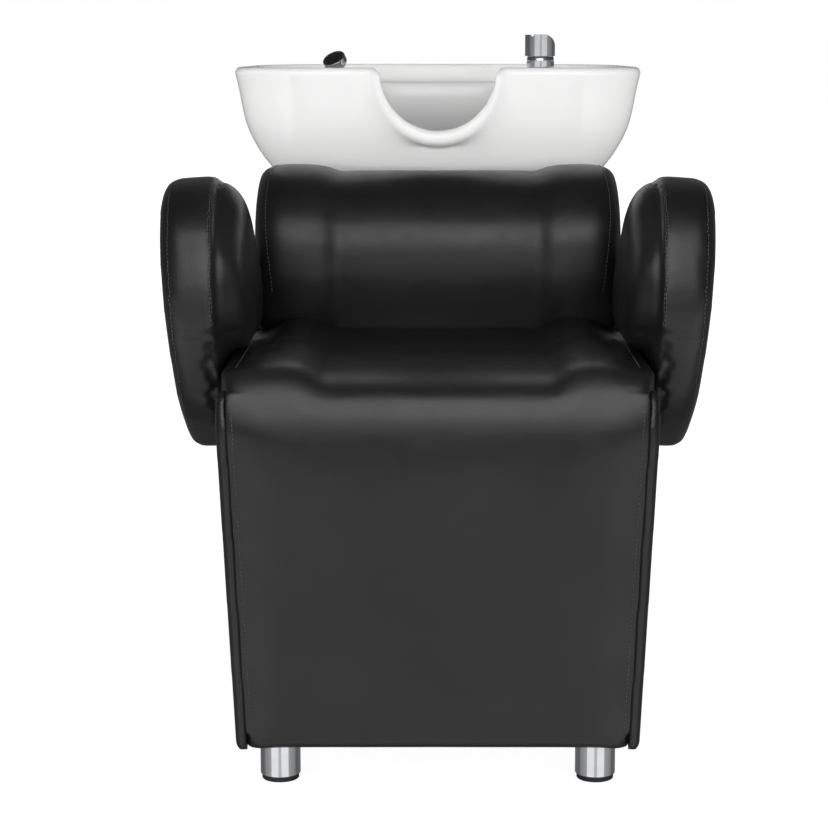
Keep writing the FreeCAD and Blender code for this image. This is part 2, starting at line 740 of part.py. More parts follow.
def back_section(x, share, draw):
    """Outline of the back cushion at one place across: upright face, deep rolled top, leaning rear."""
    face = BACK_FOOT - bolster_height(share, BACK_BOLSTER) + draw * EDGE_DRAW
    top = BACK_TOP + bolster_height(share, BACK_TOP_RISE) - draw * EDGE_DRAW
    foot_rise = bolster_height(max(share, 0.6 * draw, 0.0), BOLSTER_RISE)
    foot_z = SEAT_REAR_Z + foot_rise + SEAT_FALL / 2 + SOFT_GAP
    crest = face + BACK_ROLL
    springing = BACK_TOP - BACK_ROLL
    rear_top = top - BACK_REAR_ROUND
    rear = back_depth(rear_top, BACK_PAD)
    corner = math.sqrt(0.5)

    def place(depth, z):
        return V(x, at(depth), z)

    a = place(back_depth(foot_z, BACK_PAD), foot_z)
    b = place(face, foot_z)
    b_c = place(face - BACK_CROWN, (foot_z + springing) / 2)
    c = place(face, springing)
    c_d = place(crest - BACK_ROLL * corner, springing + (top - springing) * corner)
    d = place(crest, top)
    d_e = place(crest + (rear - crest) * corner, rear_top + BACK_REAR_ROUND * corner)
    e = place(rear, rear_top)
    return Part.Wire([
        line(a, b),
        arc(b, b_c, c),
        arc(c, c_d, d),
        arc(d, d_e, e),
        line(e, a),
    ])


def back_cushion():
    return padded(bolster_steps(BACK_HALF_WIDTH), back_section)


def arm_lobes():
    """Armrest outline as circles: depth, height and radius."""
    lobes = (ARM_TOE_LOBE, ARM_HEEL_LOBE, ARM_REAR_LOBE, ARM_FRONT_LOBE)
    return [(depth, SEAT_TOP + rise, radius) for depth, rise, radius in lobes]


def arm_place(share):
    """Places (depth, height) on a slice of the armrest: share 0 is its inner face and 1 its outer."""
    low = SEAT_TOP + ARM_TOE_LOBE[1] - ARM_TOE_LOBE[2]

    def place(depth, z):
        thick = ARM_FOOT_THICKNESS + (z - low) * math.tan(math.radians(ARM_FLARE))
        return side_place(SOFT_GAP + share * thick)(depth, z)
    return place


def arm_crown_lobes(sag=0.0):
    """Lobes of the swell on the inner face, from just above the seat up to the armrest's top."""
    d, z, r = arm_lobes()[-1]
    floor = SEAT_TOP + BOLSTER_RISE + 2 * SOFT_GAP
    ceiling = z + r - ARM_EDGE_ROUND / 2
    middle = (floor + ceiling) / 2
    big = (ceiling - floor) / 2
    small = 0.72 * big
    drop = big - small
    return [
        (d - 0.43 * r, middle - drop - sag, small),
        (d + 0.53 * r, middle - drop - sag, small),
        (d, middle - sag, big),
    ]


def armrest():
    """Right armrest: a pebble outline swelling from drawn-in edges, crowned towards the sitter."""
    slices = [(0.0, 0.6), (0.06, 0.22), (0.2, 0.0), (0.72, 0.0), (0.9, 0.25), (1.0, 1.0)]
    wires = [belt(arm_lobes(), inset * ARM_EDGE_ROUND, arm_place(share)) for share, inset in slices]
    pad = Part.makeLoft(wires, True, True)
    rings = [belt(arm_crown_lobes(), 0.0, side_place(ARM_EDGE_ROUND))]
    for share in (0.0, 0.06, 0.2, 0.4, 0.68, 1.0):
        swell = ARM_CROWN * math.sqrt(1 - (1 - share) ** 2)
        lobes = arm_crown_lobes(share * ARM_CROWN_SAG)
        rings.append(belt(lobes, share * ARM_CROWN_SLOPE, side_place(SOFT_GAP - swell)))
    pad = pad.fuse(Part.makeLoft(rings, True, True)).removeSplitter()
    pocket = arm_pocket(SOFT_GAP)
    return leaned(pad.cut(pocket))


def arm_pocket(play):
    """Room for the armrest's fixing board, open towards the side."""
    low = side_place(0)(ARM_BOARD_FRONT, ARM_BOARD_LOW)
    high = side_place(0)(ARM_BOARD_BACK, ARM_BOARD_HIGH)
    return Part.makeBox(
        SOFT_GAP + ARM_BOARD + 2 * play,
        high.y - low.y + 2 * play,
        high.z - low.z + 2 * play,
        V(BASE_HALF_WIDTH - play, low.y - play, low.z - play),
    )


def armrest_board():
    """Plywood core that the bolts grip, flush with the armrest's inner face."""
    board = arm_pocket(0.0)
    board.translate(V(SOFT_GAP, 0, 0))
    return leaned(board.cut(arm_bolt_holes(ARM_BOLT_RADIUS)))


def armrest_bolts():
    z = side_place(0)(0, ARM_BOLT_Z).z
    inner = BASE_HALF_WIDTH - SIDE_COVER - SIDE_BOARD
    length = SIDE_COVER + SIDE_BOARD + SOFT_GAP + ARM_BOARD
    solids = []
    for depth in arm_bolt_places():
        head = hexagon(inner - ARM_BOLT_HEAD, depth, z, X_AXIS, ARM_BOLT_FLATS, ARM_BOLT_HEAD)
        bolt = head.fuse(rod(inner, depth, z, X_AXIS, ARM_BOLT_RADIUS, length))
        bolt = leaned(bolt)
        solids.append(bolt)
        solids.append(mirrored(bolt))
    return Part.makeCompound(solids)


def bottom_cover():
    """Sheet under the frame, notched round the feet."""
    wide = half_width(RIM_Z)
    sheet = between_sides(box(-wide, wide, FRAME_FRONT, FRAME_BACK, FOOT_HEIGHT - BOTTOM_SHEET, FOOT_HEIGHT))
    room = FOOT_RADIUS + BOARD_PLAY
    low = FOOT_HEIGHT - 2 * BOTTOM_SHEET
    high = FOOT_HEIGHT + BOTTOM_SHEET
    for side in (-1, 1):
        near, far = sorted((side * (FOOT_X - room), side * wide))
        sheet = sheet.cut(box(near, far, 0, FRONT_FOOT_DEPTH + room, low, high))
        sheet = sheet.cut(box(near, far, REAR_FOOT_DEPTH - room, BODY_DEPTH, low, high))
    return sheet


def rear_screw_places():
    low = FOOT_HEIGHT + TUBE
    high = COLUMN_TOP - TOP_BOARD - TUBE
    levels = [low + (high - low) * share for share in (0.1, 0.5, 0.9)]
    return [(x, z) for x in (-FOOT_X, FOOT_X) for z in levels]


def rear_panel():
    """Service panel behind the column, with an arched way out for the hoses."""
    wide = half_width(RIM_Z)
    panel = box(-wide, wide, FRAME_BACK, BODY_DEPTH, FOOT_HEIGHT, COLUMN_TOP)
    panel = panel.common(inner_prism(SIDE_COVER))
    half = SERVICE_CUT_WIDTH / 2
    past = 2 * REAR_PANEL
    arch = rounded([
        (-half, FOOT_HEIGHT - past, 1.0),
        (half, FOOT_HEIGHT - past, 1.0),
        (half, FOOT_HEIGHT + SERVICE_CUT_HEIGHT, HEM_RADIUS),
        (-half, FOOT_HEIGHT + SERVICE_CUT_HEIGHT, HEM_RADIUS),
    ], lambda x, z: V(x, at(FRAME_BACK - past), z))
    panel = panel.cut(Part.Face(arch).extrude(V(0, 4 * past, 0)))
    for x, z in rear_screw_places():
        panel = panel.cut(rod(x, FRAME_BACK - past, z, Y_AXIS, SCREW_RADIUS + FREE_FIT, 4 * past))
    return panel


def rear_panel_screws():
    """Pan heads on the panel; their points stop at the frame's posts."""
    solids = []
    for x, z in rear_screw_places():
        screw = rod(x, FRAME_BACK, z, Y_AXIS, SCREW_RADIUS, REAR_PANEL)
        crown = V(x, at(BODY_DEPTH), z)
        head = Part.makeCone(SCREW_HEAD_RADIUS, SCREW_HEAD_RADIUS * 0.7, SCREW_HEAD, crown, Y_AXIS)
        solids.append(screw.fuse(head))
    return Part.makeCompound(solids)


def bracket_screw_places():
    inset = 2 * SCREW_HEAD_RADIUS
    rows = (BRACKET_FRONT + inset, BRACKET_FRONT + 3 * inset)
    return [(x, d) for x in (-BRACKET_HALF + 2 * inset, BRACKET_HALF - 2 * inset) for d in rows]


def column_top_board():
    wide = half_width(RIM_Z)
    low = COLUMN_TOP - TOP_BOARD
    board = between_sides(box(-wide, wide, COLUMN_FRONT, FRAME_BACK, low, COLUMN_TOP))
    board = board.cut(rod(0, WASTE_DEPTH, low - 1, Z_AXIS, WASTE_SWING_RADIUS, TOP_BOARD + 2))
    for x in (-TAP_X, TAP_X):
        hole = rod(x, TAP_DEPTH + HOSE_HOLE_RADIUS, low - 1, Z_AXIS, HOSE_HOLE_RADIUS, TOP_BOARD + 2)
        board = board.cut(hole)
    for x, depth in bracket_screw_places():
        board = board.cut(rod(x, depth, low - 1, Z_AXIS, SCREW_RADIUS, TOP_BOARD + 2))
    return board


def lock_reach():
    return math.hypot(LOCK_BACK, LOCK_DROP)


def lock_angle():
    return -math.degrees(math.atan2(LOCK_DROP, LOCK_BACK))


def swung(angle):
    """Depth and height of a point on the lock's arc round the pivot."""
    turn = math.radians(angle)
    return PIVOT_DEPTH + lock_reach() * math.cos(turn), PIVOT_Z + lock_reach() * math.sin(turn)


def ear_place(x):
    return lambda depth, z: V(x, at(depth), z)


def bracket_base():
    """Fixed half of the bracket: a drilled plate with two upright ears."""
    top = COLUMN_TOP + BRACKET_PLATE
    plate = box(-BRACKET_HALF, BRACKET_HALF, BRACKET_FRONT, BRACKET_BACK, COLUMN_TOP, top)
    hole = WASTE_SWING_RADIUS * 0.75
    plate = plate.cut(rod(0, WASTE_DEPTH, COLUMN_TOP - 1, Z_AXIS, hole, BRACKET_PLATE + 2))
    for x, depth in bracket_screw_places():
        plate = plate.cut(rod(x, depth, COLUMN_TOP - 1, Z_AXIS, SCREW_RADIUS + FREE_FIT, BRACKET_PLATE + 2))
    foot = EAR_CORNER
    lock_d, lock_z = PIVOT_DEPTH + LOCK_BACK, PIVOT_Z - LOCK_DROP
    circles = [
        (BRACKET_FRONT + foot, COLUMN_TOP + foot, foot),
        (BRACKET_BACK - foot, COLUMN_TOP + foot, foot),
        (lock_d, lock_z, PIVOT_BOSS * 0.75),
        (PIVOT_DEPTH, PIVOT_Z, PIVOT_BOSS),
    ]
    ear = Part.Face(belt(circles, 0.0, ear_place(BRACKET_HALF - EAR))).extrude(V(EAR, 0, 0))
    ear = ear.cut(rod(BRACKET_HALF - 2 * EAR, PIVOT_DEPTH, PIVOT_Z, X_AXIS, PIVOT_RADIUS, 3 * EAR))
    plain = mirrored(ear)
    ear = ear.cut(rod(BRACKET_HALF - 2 * EAR, lock_d, lock_z, X_AXIS, LOCK_RADIUS, 3 * EAR))
    return plate.multiFuse([ear, plain]).removeSplitter()


def bracket_screws():
    solids = []
    top = COLUMN_TOP + BRACKET_PLATE
    for x, depth in bracket_screw_places():
        shank = rod(x, depth, top - SCREW_LENGTH, Z_AXIS, SCREW_RADIUS, SCREW_LENGTH)
        solids.append(shank.fuse(rod(x, depth, top, Z_AXIS, SCREW_HEAD_RADIUS, SCREW_HEAD)))
    return Part.makeCompound(solids)


def moving_ear():
    return BRACKET_HALF + EAR_GAP


def tilt_plate():
    """Moving half of the bracket: a strip under the basin with two hanging ears, one slotted for the lock."""
    strip = box(-TILT_HALF, TILT_HALF, TILT_FRONT, TILT_BACK, TILT_UNDER, TILT_TOP)
    hole = WASTE_TUBE + 10 * FREE_FIT
    strip = strip.cut(rod(0, WASTE_DEPTH, TILT_UNDER - 1, Z_AXIS, hole, TILT_PLATE + 2))
    first = lock_angle() - TILT_FORWARD - LOCK_MARGIN
    last = lock_angle() + TILT_BACKWARD + LOCK_MARGIN
    boss = 2 * LOCK_RADIUS + LOCK_EDGE
    top = TILT_CORNER
    low_d, low_z = swung(first)
    high_d, high_z = swung(last)
    circles = [
        (PIVOT_DEPTH, PIVOT_Z, PIVOT_BOSS),
        (low_d, low_z, boss),
        (high_d, high_z, boss),
        (high_d, TILT_TOP - top, top),
        (TILT_FRONT + top, TILT_TOP - top, top),
    ]
    ear = Part.Face(belt(circles, 0.0, ear_place(moving_ear()))).extrude(V(EAR, 0, 0))
    ear = ear.cut(rod(moving_ear() - EAR, PIVOT_DEPTH, PIVOT_Z, X_AXIS, PIVOT_RADIUS + RUN_FIT, 3 * EAR))
    plain = mirrored(ear)
    slot = lock_slot(first, last, LOCK_RADIUS + FREE_FIT)
    return strip.multiFuse([ear.cut(slot), plain]).removeSplitter()


def lock_slot(first, last, radius):
    """Curved slot round the pivot, wide enough for the lock stud."""
    start = moving_ear() - EAR
    reach = lock_reach()
    centre = V(start, at(PIVOT_DEPTH), PIVOT_Z)
    ring = Part.makeCylinder(reach + radius, 3 * EAR, centre, X_AXIS)
    ring = ring.cut(Part.makeCylinder(reach - radius, 3 * EAR, centre, X_AXIS))
    wedge = [centre]
    for angle in (first, last):
        turn = math.radians(angle)
        wedge.append(centre + V(0, math.cos(turn), math.sin(turn)) * 2 * reach)
    sector = Part.Face(Part.makePolygon(wedge + wedge[:1])).extrude(V(3 * EAR, 0, 0))
    slot = ring.common(sector)
    for angle in (first, last):
        d, z = swung(angle)
        slot = slot.fuse(rod(start, d, z, X_AXIS, radius, 3 * EAR))
    return slot.removeSplitter()


def basin_pads():
    """Rubber strips between the plate and the basin's foot ring."""
    outer = TILT_HALF
    inner = TILT_HALF - 3 * WALL
    return both_sides(box(inner, outer, TILT_FRONT, PIVOT_DEPTH + LOCK_BACK, TILT_TOP, BASIN_BASE))


def pivot_bolts():
    head = PIVOT_RADIUS + PIVOT_HEAD
    start = BRACKET_HALF - EAR
    end = moving_ear() + EAR + EAR_GAP
    nut = hexagon(start - EAR, PIVOT_DEPTH, PIVOT_Z, X_AXIS, 2 * head, EAR)
    shank = rod(start, PIVOT_DEPTH, PIVOT_Z, X_AXIS, PIVOT_RADIUS - PIN_FIT, end - start)
    bolt = nut.multiFuse([shank, rod(end, PIVOT_DEPTH, PIVOT_Z, X_AXIS, head, EAR)])
    return both_sides(bolt.removeSplitter())


def knob_start():
    return moving_ear() + EAR + EAR_GAP


def lock_stud():
    d, z = PIVOT_DEPTH + LOCK_BACK, PIVOT_Z - LOCK_DROP
    start = BRACKET_HALF - EAR
    head = hexagon(start - EAR, d, z, X_AXIS, 3 * LOCK_RADIUS, EAR)
    shank = rod(start, d, z, X_AXIS, LOCK_RADIUS - PIN_FIT, knob_start() + KNOB_WIDTH * 0.8 - start)
    return head.fuse(shank)


def lock_knob():
    """Lobed hand knob on the lock stud."""
    d, z = PIVOT_DEPTH + LOCK_BACK, PIVOT_Z - LOCK_DROP
    start = knob_start()
    waist = KNOB_WIDTH * 0.3
    knob = Part.makeCone(KNOB_RADIUS * 0.7, KNOB_RADIUS * 0.8, waist, V(start, at(d), z), X_AXIS)
    knob = knob.fuse(rod(start + waist, d, z, X_AXIS, KNOB_RADIUS, KNOB_WIDTH - waist))
    for i in range(KNOB_LOBES):
        angle = 2 * math.pi * i / KNOB_LOBES
        away = KNOB_RADIUS * 1.12
        groove = rod(start + waist, d, z, X_AXIS, KNOB_RADIUS * 0.24, KNOB_WIDTH)
        groove.translate(V(0, away * math.cos(angle), away * math.sin(angle)))
        knob = knob.cut(groove)
    return knob.cut(rod(start - 1, d, z, X_AXIS, LOCK_RADIUS + RUN_FIT, KNOB_WIDTH * 0.8 + 1.5))


def basin_circles(scale):
    """Plan of the basin as corner circles, scaled about its middle."""
    front_x = BASIN_WIDTH / 2 - BASIN_CORNER
    back_v = BASIN_DEPTH - BASIN_BACK_RADIUS
    plan = [
        (-front_x, BASIN_CORNER, BASIN_CORNER),
        (front_x, BASIN_CORNER, BASIN_CORNER),
        (BASIN_BACK_HALF, back_v, BASIN_BACK_RADIUS),
        (-BASIN_BACK_HALF, back_v, BASIN_BACK_RADIUS),
    ]
    return [(scale * x, BASIN_MIDDLE + scale * (v - BASIN_MIDDLE), scale * r) for x, v, r in plan]


def basin_place(z):
    return lambda x, v: V(x, at(BASIN_FRONT + v), z)


def basin_outer(inset, low, high):
    """Outer wall as a loft, drawn in by an inset, between two heights."""
    shares = (0.0, 0.09, 0.21, 0.37, 0.6, 1.0)
    levels = [low + (high - low) * share for share in shares]
    return [belt(basin_circles(belly(z)), inset, basin_place(z)) for z in levels]


def bowl_circles(scale):
    away = BOWL_CENTRE - WASTE_BACK
    v = WASTE_BACK + scale * away
    return [(-scale * BOWL_HALF, v, scale * BOWL_RADIUS), (scale * BOWL_HALF, v, scale * BOWL_RADIUS)]


def bowl(grow):
    """Hollow of the bowl, or with a growth the outside of its wall."""
    fall = DECK_Z - BOWL_FLOOR
    steps = 6
    wires = [belt(bowl_circles(1.0), -grow, basin_place(DECK_Z + 1))]
    for i in range(steps + 1):
        turn = math.radians(90 * i / steps)
        scale = BOWL_FLAT + (1 - BOWL_FLAT) * math.cos(turn) ** 0.8
        z = DECK_Z - (fall + grow) * math.sin(turn)
        wires.append(belt(bowl_circles(scale), -grow, basin_place(z)))
    return Part.makeLoft(wires, True, True)


def notch(grow):
    """Neck channel: a round trough that runs down into the bowl, flared at the rim."""
    radius = NOTCH_RADIUS + grow
    start = -3 * LIP_RADIUS
    length = BOWL_CENTRE - start
    corner = math.sqrt(0.5)
    high = RIM_Z + 2 * NOTCH_RADIUS
    lip = RIM_Z - RIM_ROUND / 2
    below = NOTCH_Z - (lip - NOTCH_FLARE)
    side = math.sqrt(radius ** 2 - below ** 2)
    shoulder = side + NOTCH_FLARE
    bend = NOTCH_FLARE * (1 - corner)

    def place(x, z):
        return V(x, at(BASIN_FRONT + start), z)

    a = place(-shoulder, high)
    b = place(-shoulder, lip)
    b_c = place(-side - bend, lip - bend)
    c = place(-side, lip - NOTCH_FLARE)
    c_d = place(-radius * corner, NOTCH_Z - radius * corner)
    d = place(0, NOTCH_Z - radius)
    d_e = place(radius * corner, NOTCH_Z - radius * corner)
    e = place(side, lip - NOTCH_FLARE)
    e_f = place(side + bend, lip - bend)
    f = place(shoulder, lip)
    g = place(shoulder, high)
    wire = Part.Wire([
        line(a, b),
        arc(b, b_c, c),
        arc(c, c_d, d),
        arc(d, d_e, e),
        arc(e, e_f, f),
        line(f, g),
        line(g, a),
    ])
    trough = Part.Face(wire).extrude(V(0, length, 0))
    front_edge = V(0, at(BASIN_FRONT), NOTCH_Z - radius)
    return trough.rotate(front_edge, X_AXIS, -NOTCH_SLOPE)


def neck_lip():
    """Rolled bead round the notch, leaning with the front wall."""
    ring = NOTCH_RADIUS + LIP_RADIUS - LIP_OVERLAP
    centre = V(0, at(BASIN_FRONT) + LIP_RADIUS - LIP_PROUD, NOTCH_Z - LIP_SINK)
    bead = Part.makeTorus(ring, LIP_RADIUS, centre, Y_AXIS)
    bead = bead.common(box(-2 * ring, 2 * ring, 0, OVERALL_DEPTH, centre.z - 3 * ring, centre.z))
    for x in (-ring, ring):
        bead = bead.fuse(Part.makeSphere(LIP_RADIUS, centre + V(x, 0, 0)))
    return bead.rotate(centre, X_AXIS, LIP_LEAN)


def basin():
    """Ceramic basin: belly wall, rim round a deck, bowl, neck channel with a rolled lip, hollow below."""
    top = RIM_Z - RIM_ROUND
    wires = basin_outer(0.0, BASIN_BASE, top)
    wires.append(belt(basin_circles(1.0), RIM_ROUND * 0.3, basin_place(RIM_Z - RIM_ROUND * 0.3)))
    wires.append(belt(basin_circles(1.0), RIM_ROUND, basin_place(RIM_Z)))
    body = Part.makeLoft(wires, True, True)
    plan = basin_circles(1.0)
    recess = [
        belt(plan, RIM_WALL + RIM_ROUND, basin_place(DECK_Z)),
        belt(plan, RIM_WALL + RIM_ROUND * 0.3, basin_place(DECK_Z + RIM_ROUND * 0.7)),
        belt(plan, RIM_WALL, basin_place(DECK_Z + 2 * RIM_ROUND)),
        belt(plan, RIM_WALL, basin_place(RIM_Z - RIM_ROUND)),
        belt(plan, RIM_WALL - RIM_ROUND * 0.4, basin_place(RIM_Z + 1)),
    ]
    body = body.cut(Part.makeLoft(recess, True, True))
    under = Part.makeLoft(basin_outer(WALL, BASIN_BASE - 1, DECK_Z - WALL), True, True)
    under = under.cut(bowl(WALL))
    under = under.cut(notch(WALL))
    body = body.cut(under)
    body = body.fuse(neck_lip())
    body = body.cut(bowl(0.0))
    body = body.cut(notch(0.0))
    for x in (-TAP_X, TAP_X):
        body = body.cut(rod(x, TAP_DEPTH, DECK_Z - 2 * WALL, Z_AXIS, TAP_HOLE, 3 * WALL))
    return body.cut(rod(0, WASTE_DEPTH, BOWL_FLOOR - 2 * WALL, Z_AXIS, WASTE_HOLE, 3 * WALL))


def waste_body():
    """Flanged waste tube with a seat for the strainer."""
    seat = BOWL_FLOOR + WASTE_GASKET
    profile = [
        (WASTE_BORE, WASTE_END),
        (WASTE_TUBE, WASTE_END),
        (WASTE_TUBE, seat),
        (WASTE_FLANGE, seat),
        (WASTE_FLANGE - 1, seat + WASTE_FLANGE_RISE / 2),
        (WASTE_TUBE + 3, seat + WASTE_FLANGE_RISE),
        (WASTE_BORE, seat),
    ]
    return turned(profile, 0, WASTE_DEPTH)


def waste_gasket():
    top = BOWL_FLOOR + WASTE_GASKET
    outer = WASTE_FLANGE - 2
    profile = [(WASTE_HOLE, BOWL_FLOOR), (outer, BOWL_FLOOR), (outer, top), (WASTE_HOLE, top)]
    return turned(profile, 0, WASTE_DEPTH)


def waste_nut():
    nut = hexagon(0, WASTE_DEPTH, TILT_UNDER - WASTE_NUT, Z_AXIS, WASTE_NUT_FLATS, WASTE_NUT)
    thread = WASTE_TUBE + FREE_FIT
    return nut.cut(rod(0, WASTE_DEPTH, TILT_UNDER - 2 * WASTE_NUT, Z_AXIS, thread, 3 * WASTE_NUT))


def waste_strainer():
    """Lift-out hair strainer: a drilled dish with a finger knob."""
    seat = BOWL_FLOOR + WASTE_GASKET
    dish = 8.0
    sheet = 1.5
    lip = seat + WASTE_FLANGE_RISE
    profile = [
        (0, seat - dish),
        (STRAINER_RADIUS - 4, seat - dish),
        (STRAINER_RADIUS, seat),
        (WASTE_TUBE + 3, lip + SOFT_GAP),
        (WASTE_TUBE + 3, lip + SOFT_GAP + sheet),
        (STRAINER_RADIUS - sheet, seat + sheet),
        (STRAINER_RADIUS - 4 - sheet, seat - dish + sheet),
        (4, seat - dish + sheet),
        (3, seat + sheet),
        (6, seat + 5),
        (0, seat + 7),
    ]
    shape = turned(profile, 0, WASTE_DEPTH)
    for i in range(STRAINER_HOLES):
        angle = 2 * math.pi * i / STRAINER_HOLES
        hole = rod(0, WASTE_DEPTH, seat - 2 * dish, Z_AXIS, 2.2, 2 * dish)
        hole.translate(V(9 * math.cos(angle), 9 * math.sin(angle), 0))
        shape = shape.cut(hole)
    return shape


def trap_body():
    """Bottle trap: hollow body, inlet neck and a side outlet."""
    neck = WASTE_BORE - FREE_FIT
    inner = TRAP_RADIUS - TRAP_WALL
    shoulder = TRAP_TOP - 8
    profile = [
        (inner, TRAP_BOTTOM),
        (TRAP_RADIUS, TRAP_BOTTOM),
        (TRAP_RADIUS, shoulder),
        (neck, TRAP_TOP),
        (neck, TRAP_NECK_TOP),
        (neck - TRAP_WALL, TRAP_NECK_TOP),
        (neck - TRAP_WALL, TRAP_TOP - TRAP_WALL),
        (inner, shoulder - TRAP_WALL),
    ]
    body = turned(profile, 0, WASTE_DEPTH)
    space = rod(0, WASTE_DEPTH, TRAP_BOTTOM, Z_AXIS, inner, shoulder - TRAP_WALL - TRAP_BOTTOM)
    hub = rod(0, WASTE_DEPTH, OUTLET_Z, X_AXIS, OUTLET_HUB, OUTLET_HUB_REACH)
    root = hub.fuse(rod(0, WASTE_DEPTH, OUTLET_Z, X_AXIS, OUTLET_RADIUS, OUTLET_REACH)).cut(space)
    bore = rod(0, WASTE_DEPTH, OUTLET_Z, X_AXIS, OUTLET_RADIUS - TRAP_WALL, OUTLET_REACH + 1)
    return body.fuse(root).cut(bore).removeSplitter()


def trap_nut():
    step = TRAP_NUT_LOW + 4
    loose = WASTE_TUBE + FREE_FIT
    neck = WASTE_BORE
    profile = [
        (neck, TRAP_NUT_LOW),
        (TRAP_NUT_RADIUS - 2, TRAP_NUT_LOW),
        (TRAP_NUT_RADIUS, step),
        (TRAP_NUT_RADIUS, TRAP_NUT_HIGH),
        (loose, TRAP_NUT_HIGH),
        (loose, step),
        (neck, step),
    ]
    return turned(profile, 0, WASTE_DEPTH)


def trap_cup():
    inner = TRAP_RADIUS + FREE_FIT
    outer = inner + TRAP_CUP_WALL
    low = TRAP_BOTTOM - TRAP_CUP_DROP
    high = TRAP_BOTTOM + TRAP_CUP_RISE
    profile = [
        (0, low),
        (outer - 6, low),
        (outer, low + 6),
        (outer, high),
        (inner, high),
        (inner, TRAP_BOTTOM),
        (inner - TRAP_WALL, TRAP_BOTTOM),
        (inner - TRAP_WALL, low + TRAP_CUP_WALL),
        (0, low + TRAP_CUP_WALL),
    ]
    return turned(profile, 0, WASTE_DEPTH)


def deck_gasket(x, outer):
    edge = outer - 1
    top = DECK_Z + GASKET
    return turned([(TAP_HOLE, DECK_Z), (edge, DECK_Z), (edge, top), (TAP_HOLE, top)], x, TAP_DEPTH)


def mixer_body():
    """Chrome body: flange, slim barrel and a bore for the ball's plug."""
    low = DECK_Z + GASKET
    profile = [
        (0, low),
        (TAP_FLANGE, low),
        (TAP_FLANGE, low + TAP_FLANGE_RISE / 2),
        (MIXER_RADIUS, low + TAP_FLANGE_RISE),
        (MIXER_RADIUS, MIXER_PIVOT_Z - EAR_GAP),
        (MIXER_PLUG, MIXER_PIVOT_Z - EAR_GAP),
        (MIXER_PLUG, MIXER_PIVOT_Z - MIXER_PLUG_DEPTH),
        (0, MIXER_PIVOT_Z - MIXER_PLUG_DEPTH),
    ]
    return turned(profile, TAP_X, TAP_DEPTH)


def mixer_dome():
    """Turning ball on its plug, slotted for the stem."""
    ball = Part.makeSphere(MIXER_BALL, V(TAP_X, at(TAP_DEPTH), MIXER_PIVOT_Z))
    upper = rod(TAP_X, TAP_DEPTH, MIXER_PIVOT_Z, Z_AXIS, 2 * MIXER_BALL, 2 * MIXER_BALL)
    plug = rod(
        TAP_X,
        TAP_DEPTH,
        MIXER_PIVOT_Z - MIXER_PLUG_DEPTH,
        Z_AXIS,
        MIXER_PLUG - RUN_FIT,
        MIXER_PLUG_DEPTH,
    )
    dome = ball.common(upper).fuse(plug).removeSplitter()
    lean = math.radians(HANDLE_LIFT)
    room = STEM_RADIUS + STEM_GAP
    half = STEM_WIDTH / 2 + STEM_GAP
    deep = STEM_EYE + STEM_GAP
    y = at(TAP_DEPTH)
    reach = MIXER_BALL * math.sin(lean) + 2 * room
    slot = Part.makeBox(deep + reach, 2 * half, 2 * MIXER_BALL, V(TAP_X - deep, y - half, MIXER_PIVOT_Z))
    eye = Part.makeCylinder(deep, 2 * half, V(TAP_X, y - half, MIXER_PIVOT_Z), Y_AXIS)
    dome = dome.cut(slot).cut(eye)
    pin = Part.makeCylinder(
        MIXER_PIN_RADIUS,
        MIXER_PIN_LENGTH,
        V(TAP_X, y - MIXER_PIN_LENGTH / 2, MIXER_PIVOT_Z),
        Y_AXIS,
    )
    return dome.cut(pin)


def mixer_pin():
    start = V(TAP_X, at(TAP_DEPTH) - MIXER_PIN_LENGTH / 2, MIXER_PIVOT_Z)
    return Part.makeCylinder(MIXER_PIN_RADIUS - PIN_FIT, MIXER_PIN_LENGTH, start, Y_AXIS)


def stem_top():
    return MIXER_PIVOT_Z + MIXER_BALL + HANDLE_BALL_GAP + STEM_SOCKET


def mixer_stem():
    """Stem that swings on the pin and carries the handle."""
    y = at(TAP_DEPTH)
    eye = Part.makeCylinder(STEM_EYE, STEM_WIDTH, V(TAP_X, y - STEM_WIDTH / 2, MIXER_PIVOT_Z), Y_AXIS)
    shaft = rod(TAP_X, TAP_DEPTH, MIXER_PIVOT_Z, Z_AXIS, STEM_RADIUS, stem_top() - MIXER_PIVOT_Z)
    start = V(TAP_X, y - 1.5 * STEM_WIDTH, MIXER_PIVOT_Z)
    hole = Part.makeCylinder(MIXER_PIN_RADIUS + RUN_FIT, 3 * STEM_WIDTH, start, Y_AXIS)
    return eye.fuse(shaft).cut(hole).removeSplitter()


